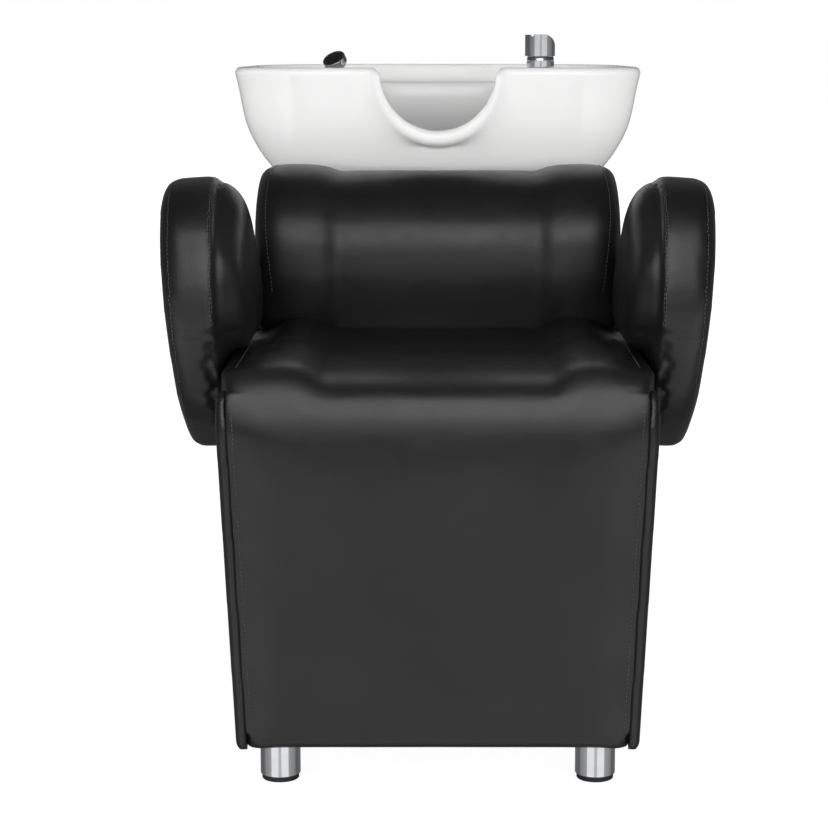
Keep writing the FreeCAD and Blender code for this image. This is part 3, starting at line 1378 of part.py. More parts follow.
def mixer_handle():
    """Lever cap: square nose with a finger groove, rounded shoulder behind, hollowed over the ball."""
    low = MIXER_PIVOT_Z + HANDLE_RIM
    high = low + HANDLE_HEIGHT
    nose = -HANDLE_NOSE_REACH
    plan = belt(
        [(nose, 0, HANDLE_NOSE_RADIUS), (0, 0, HANDLE_RADIUS)],
        0.0,
        lambda x, y: V(TAP_X + x, at(TAP_DEPTH) + y, low),
    )
    cap = Part.Face(plan).extrude(V(0, 0, HANDLE_HEIGHT))
    far = 2 * HANDLE_RADIUS
    profile = rounded([
        (-far, low - 1, 1.0),
        (HANDLE_RADIUS, low - 1, 0.5),
        (HANDLE_RADIUS, high, HANDLE_SHOULDER),
        (-far, high - 2.0, 1.0),
    ], lambda x, z: V(TAP_X + x, at(TAP_DEPTH) - far, z))
    cap = cap.common(Part.Face(profile).extrude(V(0, 2 * far, 0)))
    groove_x = nose - HANDLE_NOSE_RADIUS + 11
    groove = Part.makeCylinder(3.2, 2 * far, V(TAP_X + groove_x, at(TAP_DEPTH) - far, high - 0.6), Y_AXIS)
    cap = cap.cut(groove)
    hollow = Part.makeSphere(MIXER_BALL + HANDLE_BALL_GAP, V(TAP_X, at(TAP_DEPTH), MIXER_PIVOT_Z))
    cap = cap.cut(hollow)
    socket = rod(TAP_X, TAP_DEPTH, MIXER_PIVOT_Z, Z_AXIS, STEM_RADIUS + PIN_FIT, stem_top() - MIXER_PIVOT_Z)
    return cap.cut(socket).cut(grub(GRUB_RADIUS, 2 * HANDLE_RADIUS))


def grub(radius, length):
    start = V(TAP_X, at(TAP_DEPTH) + STEM_RADIUS + RUN_FIT, stem_top() - STEM_SOCKET / 2)
    return Part.makeCylinder(radius, length, start, Y_AXIS)


def handle_screw():
    return grub(GRUB_RADIUS - PIN_FIT, GRUB_LENGTH)


def inlet_places():
    return [TAP_X - INLET_SPACING / 2, TAP_X + INLET_SPACING / 2]


def mixer_shank():
    """Threaded shank through the deck, with the two supply inlets in its foot."""
    top = DECK_Z + GASKET
    shank = rod(TAP_X, TAP_DEPTH, top - SHANK_LENGTH, Z_AXIS, SHANK_RADIUS, SHANK_LENGTH)
    for x in inlet_places():
        shank = shank.cut(rod(x, TAP_DEPTH, top - SHANK_LENGTH - 1, Z_AXIS, INLET_RADIUS, INLET_DEPTH + 1))
    return shank


def backnut(x, radius):
    top = DECK_Z - WALL - BACKNUT_WASHER
    nut = hexagon(x, TAP_DEPTH, top - BACKNUT, Z_AXIS, BACKNUT_FLATS, BACKNUT)
    return nut.cut(rod(x, TAP_DEPTH, top - 2 * BACKNUT, Z_AXIS, radius + FREE_FIT, 3 * BACKNUT))


def mixer_washer():
    top = DECK_Z - WALL
    low = top - BACKNUT_WASHER
    outer = BACKNUT_FLATS / 2
    inner = SHANK_RADIUS + FREE_FIT
    return turned([(inner, low), (outer, low), (outer, top), (inner, top)], TAP_X, TAP_DEPTH)


def holder_nut():
    """Back nut of the shower sleeve, with its collar up against the deck."""
    nut = backnut(-TAP_X, HOLDER_RADIUS)
    top = DECK_Z - WALL
    low = top - BACKNUT_WASHER
    inner = HOLDER_RADIUS + FREE_FIT
    outer = BACKNUT_FLATS / 2
    collar = turned([(inner, low), (outer, low), (outer, top), (inner, top)], -TAP_X, TAP_DEPTH)
    return nut.fuse(collar).removeSplitter()


def shower_holder():
    """Deck sleeve that the hand shower stands in."""
    low = DECK_Z + GASKET
    bore = GRIP_RADIUS + GRIP_FIT
    profile = [
        (bore, low - HOLDER_LENGTH),
        (HOLDER_RADIUS, low - HOLDER_LENGTH),
        (HOLDER_RADIUS, low),
        (HOLDER_FLANGE, low),
        (HOLDER_FLANGE, low + HOLDER_RISE / 2),
        (HOLDER_FLANGE - 3, low + HOLDER_RISE),
        (bore, low + HOLDER_RISE),
    ]
    return turned(profile, -TAP_X, TAP_DEPTH)


def collar_z():
    return DECK_Z + GASKET + HOLDER_RISE


def head_turned(shape):
    """Tips the spray head towards the front and left."""
    centre = V(-TAP_X, at(TAP_DEPTH), DECK_Z + HEAD_CENTRE_RISE)
    turn = math.radians(HEAD_TURN)
    axis = V(math.cos(turn), -math.sin(turn), 0)
    return shape.rotate(centre, axis, HEAD_TILT)


def shower_handle():
    """Hand shower: grip in the sleeve, collar on it and a tipped head, hollowed for the spray plate."""
    low = DECK_Z - GRIP_DEPTH
    shelf = collar_z()
    neck = DECK_Z + HEAD_CENTRE_RISE
    profile = [
        (0, low),
        (GRIP_RADIUS - 3, low),
        (GRIP_RADIUS, low + 12),
        (GRIP_RADIUS, shelf),
        (COLLAR_RADIUS - 1, shelf),
        (COLLAR_RADIUS, shelf + 1),
        (COLLAR_RADIUS, shelf + COLLAR_RISE),
        (GRIP_RADIUS, shelf + COLLAR_RISE + 6),
        (GRIP_RADIUS - 2, neck),
        (0, neck),
    ]
    grip = turned(profile, -TAP_X, TAP_DEPTH)
    start = DECK_Z + HEAD_CENTRE_RISE - HEAD_HEIGHT * 0.6
    shell = rod(-TAP_X, TAP_DEPTH, start, Z_AXIS, HEAD_RADIUS, HEAD_HEIGHT)
    shell = shell.makeFillet(HEAD_RADIUS * 0.5, [shell.Edges[2]])
    crown = [e for e in shell.Edges if e.BoundBox.ZMin > start + HEAD_HEIGHT - 0.1]
    shell = shell.makeFillet(1.2, crown)
    face = start + HEAD_HEIGHT - SPRAY_DEPTH
    seat = rod(-TAP_X, TAP_DEPTH, face, Z_AXIS, SPRAY_RADIUS, 2 * SPRAY_DEPTH)
    return grip.fuse(head_turned(shell)).cut(head_turned(seat)).removeSplitter()


def spray_plate():
    """Spray face: a shallow domed disc seated in the head."""
    start = DECK_Z + HEAD_CENTRE_RISE + HEAD_HEIGHT * 0.4 - SPRAY_DEPTH
    radius = SPRAY_RADIUS - RUN_FIT
    profile = [
        (0, start),
        (radius, start),
        (radius, start + SPRAY_DEPTH - 0.6),
        (radius * 0.8, start + SPRAY_DEPTH + 0.3),
        (0, start + SPRAY_DEPTH + 1.0),
    ]
    return head_turned(turned(profile, -TAP_X, TAP_DEPTH))


def hose_nut():
    """Swivel nut under the grip, where the shower hose leaves."""
    top = DECK_Z - GRIP_DEPTH
    profile = [
        (5, top - HOSE_NUT_LENGTH),
        (HOSE_NUT_RADIUS - 3, top - HOSE_NUT_LENGTH),
        (HOSE_NUT_RADIUS, top - HOSE_NUT_LENGTH + 8),
        (HOSE_NUT_RADIUS, top),
        (5, top),
    ]
    return turned(profile, -TAP_X, TAP_DEPTH)


def pieces():
    """Every node with its shape."""
    right_board = side_board()
    right_cover = side_cover()
    right_arm = armrest()
    right_core = armrest_board()
    return {
        "steel_frame": steel_frame(),
        "feet": feet(),
        "foot_pads": foot_pads(),
        "foot_studs": foot_studs(),
        "apron_board": apron_board(),
        "seat_board": seat_board(),
        "back_board": back_board(),
        "back_rear_cover": back_rear_cover(),
        "side_board_left": mirrored(right_board),
        "side_board_right": right_board,
        "side_cover_left": mirrored(right_cover),
        "side_cover_right": right_cover,
        "seat_cushion": seat_cushion(),
        "back_cushion": back_cushion(),
        "armrest_left": mirrored(right_arm),
        "armrest_right": right_arm,
        "armrest_board_left": mirrored(right_core),
        "armrest_board_right": right_core,
        "armrest_bolts": armrest_bolts(),
        "bottom_cover": bottom_cover(),
        "rear_panel": rear_panel(),
        "rear_panel_screws": rear_panel_screws(),
        "column_top_board": column_top_board(),
        "bracket_base": bracket_base(),
        "bracket_screws": bracket_screws(),
        "pivot_bolts": pivot_bolts(),
        "lock_stud": lock_stud(),
        "lock_knob": lock_knob(),
        "tilt_plate": tilt_plate(),
        "basin_pads": basin_pads(),
        "basin": basin(),
        "waste_body": waste_body(),
        "waste_gasket": waste_gasket(),
        "waste_nut": waste_nut(),
        "waste_strainer": waste_strainer(),
        "trap_body": trap_body(),
        "trap_nut": trap_nut(),
        "trap_cup": trap_cup(),
        "mixer_gasket": deck_gasket(TAP_X, TAP_FLANGE),
        "mixer_body": mixer_body(),
        "mixer_shank": mixer_shank(),
        "mixer_washer": mixer_washer(),
        "mixer_nut": backnut(TAP_X, SHANK_RADIUS),
        "mixer_dome": mixer_dome(),
        "mixer_pin": mixer_pin(),
        "mixer_stem": mixer_stem(),
        "mixer_handle": mixer_handle(),
        "handle_screw": handle_screw(),
        "holder_gasket": deck_gasket(-TAP_X, HOLDER_FLANGE),
        "holder_nut": holder_nut(),
        "shower_holder": shower_holder(),
        "shower_handle": shower_handle(),
        "spray_plate": spray_plate(),
        "hose_nut": hose_nut(),
    }


os.makedirs("parts", exist_ok=True)
for name, shape in pieces().items():
    shape.exportStep("parts/" + name + ".step")
    print(name, len(shape.Solids), "solids", round(shape.Volume / 1000, 1), "cm3", shape.isValid())
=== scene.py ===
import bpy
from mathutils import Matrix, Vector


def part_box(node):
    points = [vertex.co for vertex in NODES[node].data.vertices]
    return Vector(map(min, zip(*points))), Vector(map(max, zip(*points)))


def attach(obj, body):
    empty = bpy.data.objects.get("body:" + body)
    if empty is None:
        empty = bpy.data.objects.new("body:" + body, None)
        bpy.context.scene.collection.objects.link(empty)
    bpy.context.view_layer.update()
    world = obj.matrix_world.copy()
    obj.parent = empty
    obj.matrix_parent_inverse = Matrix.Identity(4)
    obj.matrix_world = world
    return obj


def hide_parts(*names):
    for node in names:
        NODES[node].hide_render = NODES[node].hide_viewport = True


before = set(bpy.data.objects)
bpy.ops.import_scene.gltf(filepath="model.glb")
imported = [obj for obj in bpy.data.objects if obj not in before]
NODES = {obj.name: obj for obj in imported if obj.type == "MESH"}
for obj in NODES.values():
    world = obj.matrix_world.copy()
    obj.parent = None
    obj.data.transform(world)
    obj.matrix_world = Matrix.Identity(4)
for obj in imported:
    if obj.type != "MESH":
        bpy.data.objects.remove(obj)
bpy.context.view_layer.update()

import math

import bmesh
import bpy
import numpy as np
from mathutils import Vector
from mathutils.bvhtree import BVHTree

bl_info = {
    "name": "Backwash unit",
    "version": (1, 0, 0),
    "blender": (4, 5, 0),
    "location": "View3D > Sidebar > Backwash unit",
    "description": "Upholstery, glaze, chrome and studio for a salon backwash unit",
    "category": "Object",
}

# Metres. X runs across the chair, +Y points to its back and Z is up, as in the frame.
SEAT_LOW, SEAT_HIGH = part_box("seat_cushion")
BACK_LOW, BACK_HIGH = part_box("back_cushion")
COVER_LOW, COVER_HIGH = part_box("side_cover_right")
FRONT_Y = SEAT_LOW.y
SIDE_LEAN = math.radians(2.85)  # of each side, outwards
SIDE_FOOT_X = 0.246  # half the unit's width at the foot of its sides
SIDE_FOOT_Z = 0.050  # height of that foot
SIDE_PAD = 0.0135  # side panel beside the seat
BOLSTER_ROLL = 0.078  # radius of the bolsters' front roll
MERGE = 2e-5  # mesh points nearer than this are one
FOAM_FRAMES = 20  # length of the foam simulation
EVEN_PASSES = 30  # evening out of what the foam moves
RIM_PASSES, RIM_MARGIN = 8, 6  # points round a rim that count as rim, and that are left alone beside it

# Armrest outline as circles: depth behind the apron's front, height and radius
ARM_LOBES = ((0.285, 0.420, 0.040), (0.395, 0.420, 0.040), (0.420, 0.530, 0.110), (0.300, 0.565, 0.170))


class UpholsterySizes(bpy.types.PropertyGroup):
    """Sizes and colours of the padded leather."""

    voxel: bpy.props.FloatProperty(
        name="Skin mesh", description="Face size of the padded skins", default=0.0055, unit="LENGTH")
    pressure: bpy.props.FloatProperty(
        name="Foam pressure", description="Push of the foam on the skin", default=4.0)
    swell: bpy.props.FloatProperty(
        name="Largest swell", description="How far the foam may push the skin", default=0.005, unit="LENGTH")
    stitch_pitch: bpy.props.FloatProperty(
        name="Stitch pitch", description="From one stitch to the next", default=0.0055, unit="LENGTH")
    stitch_length: bpy.props.FloatProperty(
        name="Stitch length", description="Length of one stitch", default=0.0042, unit="LENGTH")
    thread: bpy.props.FloatProperty(
        name="Thread", description="Thickness of the sewing thread", default=0.0011, unit="LENGTH")
    leather: bpy.props.FloatVectorProperty(
        name="Leather", description="Colour of the leather",
        default=(0.0065, 0.0065, 0.0068), size=3, subtype="COLOR")
    leather_worn: bpy.props.FloatVectorProperty(
        name="Rubbed leather", description="Colour where it is rubbed",
        default=(0.0105, 0.0103, 0.0104), size=3, subtype="COLOR")
    thread_colour: bpy.props.FloatVectorProperty(
        name="Thread colour", description="Colour of the sewing thread",
        default=(0.085, 0.085, 0.088), size=3, subtype="COLOR")


class FittingSizes(bpy.types.PropertyGroup):
    """Sizes and colours of the basin, metal and plastic."""

    glaze_voxel: bpy.props.FloatProperty(
        name="Glaze mesh", description="Face size of the glazed skin", default=0.004, unit="LENGTH")
    glaze: bpy.props.FloatVectorProperty(
        name="Glaze", description="Colour of the glazed ceramic",
        default=(0.87, 0.87, 0.865), size=3, subtype="COLOR")
    glaze_shade: bpy.props.FloatVectorProperty(
        name="Glaze shade", description="Slightly deeper glaze",
        default=(0.85, 0.85, 0.845), size=3, subtype="COLOR")
    chrome: bpy.props.FloatVectorProperty(
        name="Chrome", description="Colour of polished chrome",
        default=(0.74, 0.75, 0.77), size=3, subtype="COLOR")


class StudioSizes(bpy.types.PropertyGroup):
    """Camera, light and floor."""

    camera_distance: bpy.props.FloatProperty(
        name="Camera distance", description="In front of the apron", default=2.6756, unit="LENGTH")
    camera_height: bpy.props.FloatProperty(
        name="Camera height", description="Above the floor", default=0.9116, unit="LENGTH")
    camera_pitch: bpy.props.FloatProperty(
        name="Camera pitch", description="Downward tilt", default=math.radians(9.384), subtype="ANGLE")
    focal_pixels: bpy.props.FloatProperty(
        name="Focal length", description="In pixels of a picture 828 wide", default=2282.0)
    middle_pixel: bpy.props.FloatProperty(
        name="Middle", description="Column of the unit's middle in that picture", default=437.8)
    picture: bpy.props.FloatProperty(
        name="Picture", description="Width of that picture in pixels", default=828.0)
    key_radiance: bpy.props.FloatProperty(
        name="Soft box", description="Brightness of the soft box overhead", default=2.35)
    ambient: bpy.props.FloatProperty(
        name="Room light", description="Brightness of the room's soft light", default=4.9)
    floor_lift: bpy.props.FloatProperty(
        name="Floor lift", description="Light added to the floor for the camera", default=0.84)


def sizes(name):
    return getattr(bpy.context.scene, name)


# Meshes

def mesh_object(name, mesh):
    obj = bpy.data.objects.new(name, mesh)
    bpy.context.scene.collection.objects.link(obj)
    return obj


def merged_copy(name, node):
    """New object with a node's mesh, its loose triangles joined."""
    bm = bmesh.new()
    bm.from_mesh(NODES[node].data)
    bmesh.ops.remove_doubles(bm, verts=bm.verts, dist=MERGE)
    mesh = bpy.data.meshes.new(name)
    bm.to_mesh(mesh)
    bm.free()
    return mesh_object(name, mesh)


def apply_modifiers(obj):
    depsgraph = bpy.context.evaluated_depsgraph_get()
    mesh = bpy.data.meshes.new_from_object(obj.evaluated_get(depsgraph))
    obj.modifiers.clear()
    old = obj.data
    obj.data = mesh
    mesh.name = obj.name
    bpy.data.meshes.remove(old)


def remesh(obj, voxel):
    modifier = obj.modifiers.new("Skin", "REMESH")
    modifier.mode = "VOXEL"
    modifier.voxel_size = voxel
    modifier.use_smooth_shade = True
    apply_modifiers(obj)


def soften(obj, repeats):
    modifier = obj.modifiers.new("Soften", "SMOOTH")
    modifier.factor = 0.5
    modifier.iterations = repeats
    apply_modifiers(obj)


def neighbour_mean(mesh, values):
    """Mean of each point's neighbours, for rows of values."""
    pairs = np.empty(len(mesh.edges) * 2, dtype=np.int64)
    mesh.edges.foreach_get("vertices", pairs)
    one, two = pairs[0::2], pairs[1::2]
    count = len(mesh.vertices)
    degree = np.bincount(pairs, minlength=count)
    columns = []
    for i in range(values.shape[1]):
        total = np.bincount(one, values[two, i], count) + np.bincount(two, values[one, i], count)
        columns.append(total / np.maximum(degree, 1))
    return np.stack(columns, axis=1)


def flatness(mesh, sharp, flat):
    """1 on broad faces, 0 on rims and edges, by how alike the neighbouring normals are."""
    mean = normals_of(mesh)
    for _ in range(RIM_PASSES):
        mean = neighbour_mean(mesh, mean)
    weight = rise(np.linalg.norm(mean, axis=1, keepdims=True), sharp, flat)
    for _ in range(RIM_MARGIN):
        weight = np.minimum(weight, neighbour_mean(mesh, weight))
    return weight[:, 0]


def fair(obj, repeats, weight):
    """Evens out a skin by its weights and leaves the rest as it is."""
    mesh = obj.data
    points = points_of(mesh)
    for _ in range(repeats):
        points = points + 0.5 * weight[:, None] * (neighbour_mean(mesh, points) - points)
    set_points(mesh, points)


def points_of(mesh):
    flat = np.empty(len(mesh.vertices) * 3)
    mesh.vertices.foreach_get("co", flat)
    return flat.reshape(-1, 3)


def normals_of(mesh):
    flat = np.empty(len(mesh.vertices) * 3)
    mesh.vertex_normals.foreach_get("vector", flat)
    return flat.reshape(-1, 3)


def set_points(mesh, points):
    mesh.vertices.foreach_set("co", np.ascontiguousarray(points).ravel())
    mesh.update()


def shade_smooth(mesh):
    mesh.polygons.foreach_set("use_smooth", [True] * len(mesh.polygons))


def rise(values, low, high):
    """Smooth step from 0 at low to 1 at high."""
    t = np.clip((values - low) / (high - low), 0.0, 1.0)
    return t * t * (3 - 2 * t)


def bump(values, centre, width):
    """Bell of height 1."""
    return np.exp(-((values - centre) / width) ** 2)


def mirrored_copy(obj, name):
    """Copy mirrored across the unit's middle, with its faces turned outwards again."""
    bm = bmesh.new()
    bm.from_mesh(obj.data)
    for vert in bm.verts:
        vert.co.x = -vert.co.x
    bmesh.ops.reverse_faces(bm, faces=bm.faces)
    mesh = bpy.data.meshes.new(name)
    bm.to_mesh(mesh)
    bm.free()
    shade_smooth(mesh)
    return mesh_object(name, mesh)


def inflate(obj, weight, pressure, cap):
    """Lets foam pressure swell a skin, holds each point's move under a cap and evens the moves out."""
    scene = bpy.context.scene
    start = points_of(obj.data)
    cloth = obj.modifiers.new("Foam", "CLOTH")
    cloth.settings.use_pressure = True
    cloth.settings.uniform_pressure_force = pressure
    cloth.settings.effector_weights.gravity = 0.0
    cloth.settings.quality = 4
    cloth.collision_settings.use_collision = False
    for step in range(1, FOAM_FRAMES + 1):
        scene.frame_set(step)
    depsgraph = bpy.context.evaluated_depsgraph_get()
    swollen = bpy.data.meshes.new_from_object(obj.evaluated_get(depsgraph))
    move = points_of(swollen) - start
    obj.modifiers.clear()
    scene.frame_set(1)
    bpy.data.meshes.remove(swollen)
    length = np.linalg.norm(move, axis=1, keepdims=True)
    move = move * np.minimum(1.0, cap / np.maximum(length, 1e-9)) * weight[:, None]
    for _ in range(EVEN_PASSES):
        move = neighbour_mean(obj.data, move)
    set_points(obj.data, start + move)


def half_width(z):
    """Half the unit's width at a height, on its leaning sides."""
    return SIDE_FOOT_X + (z - SIDE_FOOT_Z) * math.tan(SIDE_LEAN)


def belt_points(circles, inset, count):
    """Points along a belt round circles, drawn in by an inset, evenly spaced."""
    total = len(circles)
    normals = []
    for i in range(total):
        a0, b0, r0 = circles[i]
        a1, b1, r1 = circles[(i + 1) % total]
        gap = math.hypot(a1 - a0, b1 - b0)
        normals.append(math.atan2(b1 - b0, a1 - a0) - math.acos((r0 - r1) / gap))
    dense = []
    for i in range(total):
        a, b, r = circles[i]
        sweep = (normals[i] - normals[i - 1]) % (2 * math.pi)
        for step in range(41):
            angle = normals[i - 1] + sweep * step / 40
            dense.append((a + (r - inset) * math.cos(angle), b + (r - inset) * math.sin(angle)))
    dense.append(dense[0])
    dense = np.array(dense)
    along = np.concatenate([[0], np.cumsum(np.linalg.norm(np.diff(dense, axis=0), axis=1))])
    stops = np.linspace(0, along[-1], count)
    return np.stack([np.interp(stops, along, dense[:, i]) for i in range(2)], axis=1)


# Node trees

def add_node(tree, kind, inputs=None, **settings):
    """Node with its settings and inputs; an input is a value or another node's output."""
    node = tree.nodes.new(kind)
    for key, value in settings.items():
        setattr(node, key, value)
    for key, value in (inputs or {}).items():
        socket = node.inputs[key]
        if isinstance(value, bpy.types.NodeSocket):
            tree.links.new(value, socket)
        else:
            socket.default_value = value
    return node


def mixed_colours(tree, share, one, two):
    """Colour that goes from one to two with a share; the numbers are the colour sockets of the node."""
    return add_node(tree, "ShaderNodeMix", {0: share, 6: one, 7: two}, data_type="RGBA").outputs[2]


def shader_group(name, inputs, outputs):
    """Empty shader node group with named sockets, and its two end nodes."""
    tree = bpy.data.node_groups.new(name, "ShaderNodeTree")
    for label, kind, value in inputs:
        socket = tree.interface.new_socket(label, in_out="INPUT", socket_type=kind)
        if value is not None:
            socket.default_value = value
    for label, kind in outputs:
        tree.interface.new_socket(label, in_out="OUTPUT", socket_type=kind)
    return tree, tree.nodes.new("NodeGroupInput"), tree.nodes.new("NodeGroupOutput")


def mottle_group():
    """Cloudy value between two limits, for sheen that is not quite even."""
    name = "Mottle"
    if name in bpy.data.node_groups:
        return bpy.data.node_groups[name]
    tree, start, end = shader_group(
        name,
        [
            ("Vector", "NodeSocketVector", None),
            ("Scale", "NodeSocketFloat", 20.0),
            ("Low", "NodeSocketFloat", 0.2),
            ("High", "NodeSocketFloat", 0.3),
        ],
        [("Value", "NodeSocketFloat")],
    )
    noise = add_node(tree, "ShaderNodeTexNoise", {
        "Vector": start.outputs["Vector"], "Scale": start.outputs["Scale"], "Detail": 4.0})
    spread = add_node(tree, "ShaderNodeMapRange", {
        "Value": noise.outputs["Fac"], "From Min": 0.3, "From Max": 0.7,
        "To Min": start.outputs["Low"], "To Max": start.outputs["High"]})
    tree.links.new(spread.outputs["Result"], end.inputs["Value"])
    return tree


def tint_group():
    """Two shades of one colour in soft clouds."""
    name = "Tint"
    if name in bpy.data.node_groups:
        return bpy.data.node_groups[name]
    tree, start, end = shader_group(
        name,
        [
            ("Vector", "NodeSocketVector", None),
            ("Scale", "NodeSocketFloat", 6.0),
            ("Main", "NodeSocketColor", (0.5, 0.5, 0.5, 1.0)),
            ("Other", "NodeSocketColor", (0.4, 0.4, 0.4, 1.0)),
        ],
        [("Color", "NodeSocketColor")],
    )
    noise = add_node(tree, "ShaderNodeTexNoise", {
        "Vector": start.outputs["Vector"], "Scale": start.outputs["Scale"], "Detail": 5.0})
    spread = add_node(tree, "ShaderNodeMapRange", {
        "Value": noise.outputs["Fac"], "From Min": 0.35, "From Max": 0.65})
    mix = mixed_colours(tree, spread.outputs["Result"], start.outputs["Main"], start.outputs["Other"])
    tree.links.new(mix, end.inputs["Color"])
    return tree


def hide_group():
    """Leather grain: pebbled cells, fine pores and slack waves."""
    name = "Hide"
    if name in bpy.data.node_groups:
        return bpy.data.node_groups[name]
    tree, start, end = shader_group(
        name,
        [
            ("Vector", "NodeSocketVector", None),
            ("Cells", "NodeSocketFloat", 520.0),
            ("Waves", "NodeSocketFloat", 22.0),
        ],
        [("Grain", "NodeSocketFloat"), ("Slack", "NodeSocketFloat")],
    )
    cells = add_node(tree, "ShaderNodeTexVoronoi", {
        "Vector": start.outputs["Vector"], "Scale": start.outputs["Cells"],
        "Smoothness": 0.6}, feature="SMOOTH_F1")
    pores = add_node(tree, "ShaderNodeTexNoise", {
        "Vector": start.outputs["Vector"], "Scale": 1900.0, "Detail": 2.0})
    hollow = add_node(tree, "ShaderNodeMath", {0: 0.6, 1: cells.outputs["Distance"]}, operation="SUBTRACT")
    grain = add_node(tree, "ShaderNodeMath", {
        0: pores.outputs["Fac"], 1: 0.25, 2: hollow.outputs[0]}, operation="MULTIPLY_ADD")
    drawn = add_node(tree, "ShaderNodeVectorMath", {
        0: start.outputs["Vector"], 1: (0.3, 1.0, 1.0)}, operation="MULTIPLY")
    waves = add_node(tree, "ShaderNodeTexNoise", {
        "Vector": drawn.outputs[0], "Scale": start.outputs["Waves"], "Detail": 3.0, "Roughness": 0.5})
    tree.links.new(grain.outputs[0], end.inputs["Grain"])
    tree.links.new(waves.outputs["Fac"], end.inputs["Slack"])
    return tree


def brushed_group():
    """Fine streaks along X, for rolled or brushed metal and sheet."""
    name = "Streaks"
    if name in bpy.data.node_groups:
        return bpy.data.node_groups[name]
    tree, start, end = shader_group(
        name,
        [
            ("Vector", "NodeSocketVector", None),
            ("Stretch", "NodeSocketVector", (40.0, 900.0, 900.0)),
            ("Low", "NodeSocketFloat", 0.2),
            ("High", "NodeSocketFloat", 0.4),
        ],
        [("Value", "NodeSocketFloat"), ("Height", "NodeSocketFloat")],
    )
    drawn = add_node(tree, "ShaderNodeVectorMath", {
        0: start.outputs["Vector"], 1: start.outputs["Stretch"]}, operation="MULTIPLY")
    noise = add_node(tree, "ShaderNodeTexNoise", {"Vector": drawn.outputs[0], "Scale": 1.0, "Detail": 3.0})
    spread = add_node(tree, "ShaderNodeMapRange", {
        "Value": noise.outputs["Fac"], "From Min": 0.3, "From Max": 0.7,
        "To Min": start.outputs["Low"], "To Max": start.outputs["High"]})
    tree.links.new(spread.outputs["Result"], end.inputs["Value"])
    tree.links.new(noise.outputs["Fac"], end.inputs["Height"])
    return tree


def new_material(name):
    """Empty material with a Principled shader and Object coordinates."""
    material = bpy.data.materials.new(name)
    material.use_nodes = True
    tree = material.node_tree
    shader = tree.nodes["Principled BSDF"]
    place = tree.nodes.new("ShaderNodeTexCoord").outputs["Object"]
    return material, tree, shader, place


def use_group(tree, group, inputs):
    return add_node(tree, "ShaderNodeGroup", inputs, node_tree=group)


def rgba(colour):
    return (*colour, 1.0)


def cloud(tree, shader, place, main, other, scale):
    """Base colour in two shades."""
    tint = use_group(tree, tint_group(), {
        "Vector": place, "Scale": scale, "Main": rgba(main), "Other": rgba(other)})
    tree.links.new(tint.outputs["Color"], shader.inputs["Base Color"])


def dress(tree, shader, place, main, other, tint_scale, rough, rough_scale):
    """Clouded colour and sheen that most finishes share."""
    cloud(tree, shader, place, main, other, tint_scale)
    mottle = use_group(tree, mottle_group(), {
        "Vector": place, "Scale": rough_scale, "Low": rough[0], "High": rough[1]})
    tree.links.new(mottle.outputs["Value"], shader.inputs["Roughness"])


def relief(tree, shader, heights):
    """Stacked bumps: (output, distance, strength) from broad to fine."""
    normal = None
    for height, distance, strength in heights:
        node = add_node(tree, "ShaderNodeBump", {
            "Height": height, "Distance": distance, "Strength": strength})
        if normal is not None:
            tree.links.new(normal, node.inputs["Normal"])
        normal = node.outputs["Normal"]
    tree.links.new(normal, shader.inputs["Normal"])


def leather_material():
    name = "leather"
    if name in bpy.data.materials:
        return bpy.data.materials[name]
    look = sizes("unit_upholstery")
    material, tree, shader, place = new_material(name)
    dress(tree, shader, place, look.leather, look.leather_worn, 9.0, (0.30, 0.40), 30.0)
    shader.inputs["Specular IOR Level"].default_value = 0.5
    hide = use_group(tree, hide_group(), {"Vector": place})
    relief(tree, shader, [
        (hide.outputs["Slack"], 0.003, 0.25),
        (hide.outputs["Grain"], 0.0005, 0.22),
    ])
    return material


def thread_material():
    name = "thread"
    if name in bpy.data.materials:
        return bpy.data.materials[name]
    look = sizes("unit_upholstery")
    material, tree, shader, place = new_material(name)
    colour = look.thread_colour
    dress(tree, shader, place, colour, [0.6 * c for c in colour], 300.0, (0.5, 0.7), 400.0)
    return material


def ceramic_material():
    look = sizes("unit_fittings")
    material, tree, shader, place = new_material("glazed_ceramic")
    dress(tree, shader, place, look.glaze, look.glaze_shade, 3.0, (0.05, 0.09), 9.0)
    shader.inputs["Coat Weight"].default_value = 0.3
    shader.inputs["Coat Roughness"].default_value = 0.03
    waves = add_node(tree, "ShaderNodeTexNoise", {"Vector": place, "Scale": 14.0, "Detail": 1.0})
    relief(tree, shader, [(waves.outputs["Fac"], 0.002, 0.05)])
    return material


def chrome_material():
    name = "polished_chrome"
    if name in bpy.data.materials:
        return bpy.data.materials[name]
    look = sizes("unit_fittings")
    material, tree, shader, place = new_material(name)
    darker = [0.93 * c for c in look.chrome]
    dress(tree, shader, place, look.chrome, darker, 40.0, (0.04, 0.09), 60.0)
    shader.inputs["Metallic"].default_value = 1.0
    return material


def plain_material(name, main, rough, metallic=0.0, grain=None):
    """Clouded finish for small fittings, with an optional fine grain (scale, distance)."""
    if name in bpy.data.materials:
        return bpy.data.materials[name]
    material, tree, shader, place = new_material(name)
    dress(tree, shader, place, main, [0.8 * c for c in main], 25.0, rough, 120.0)
    shader.inputs["Metallic"].default_value = metallic
    if grain:
        noise = add_node(tree, "ShaderNodeTexNoise", {"Vector": place, "Scale": grain[0], "Detail": 3.0})
        relief(tree, shader, [(noise.outputs["Fac"], grain[1], 0.4)])
    return material


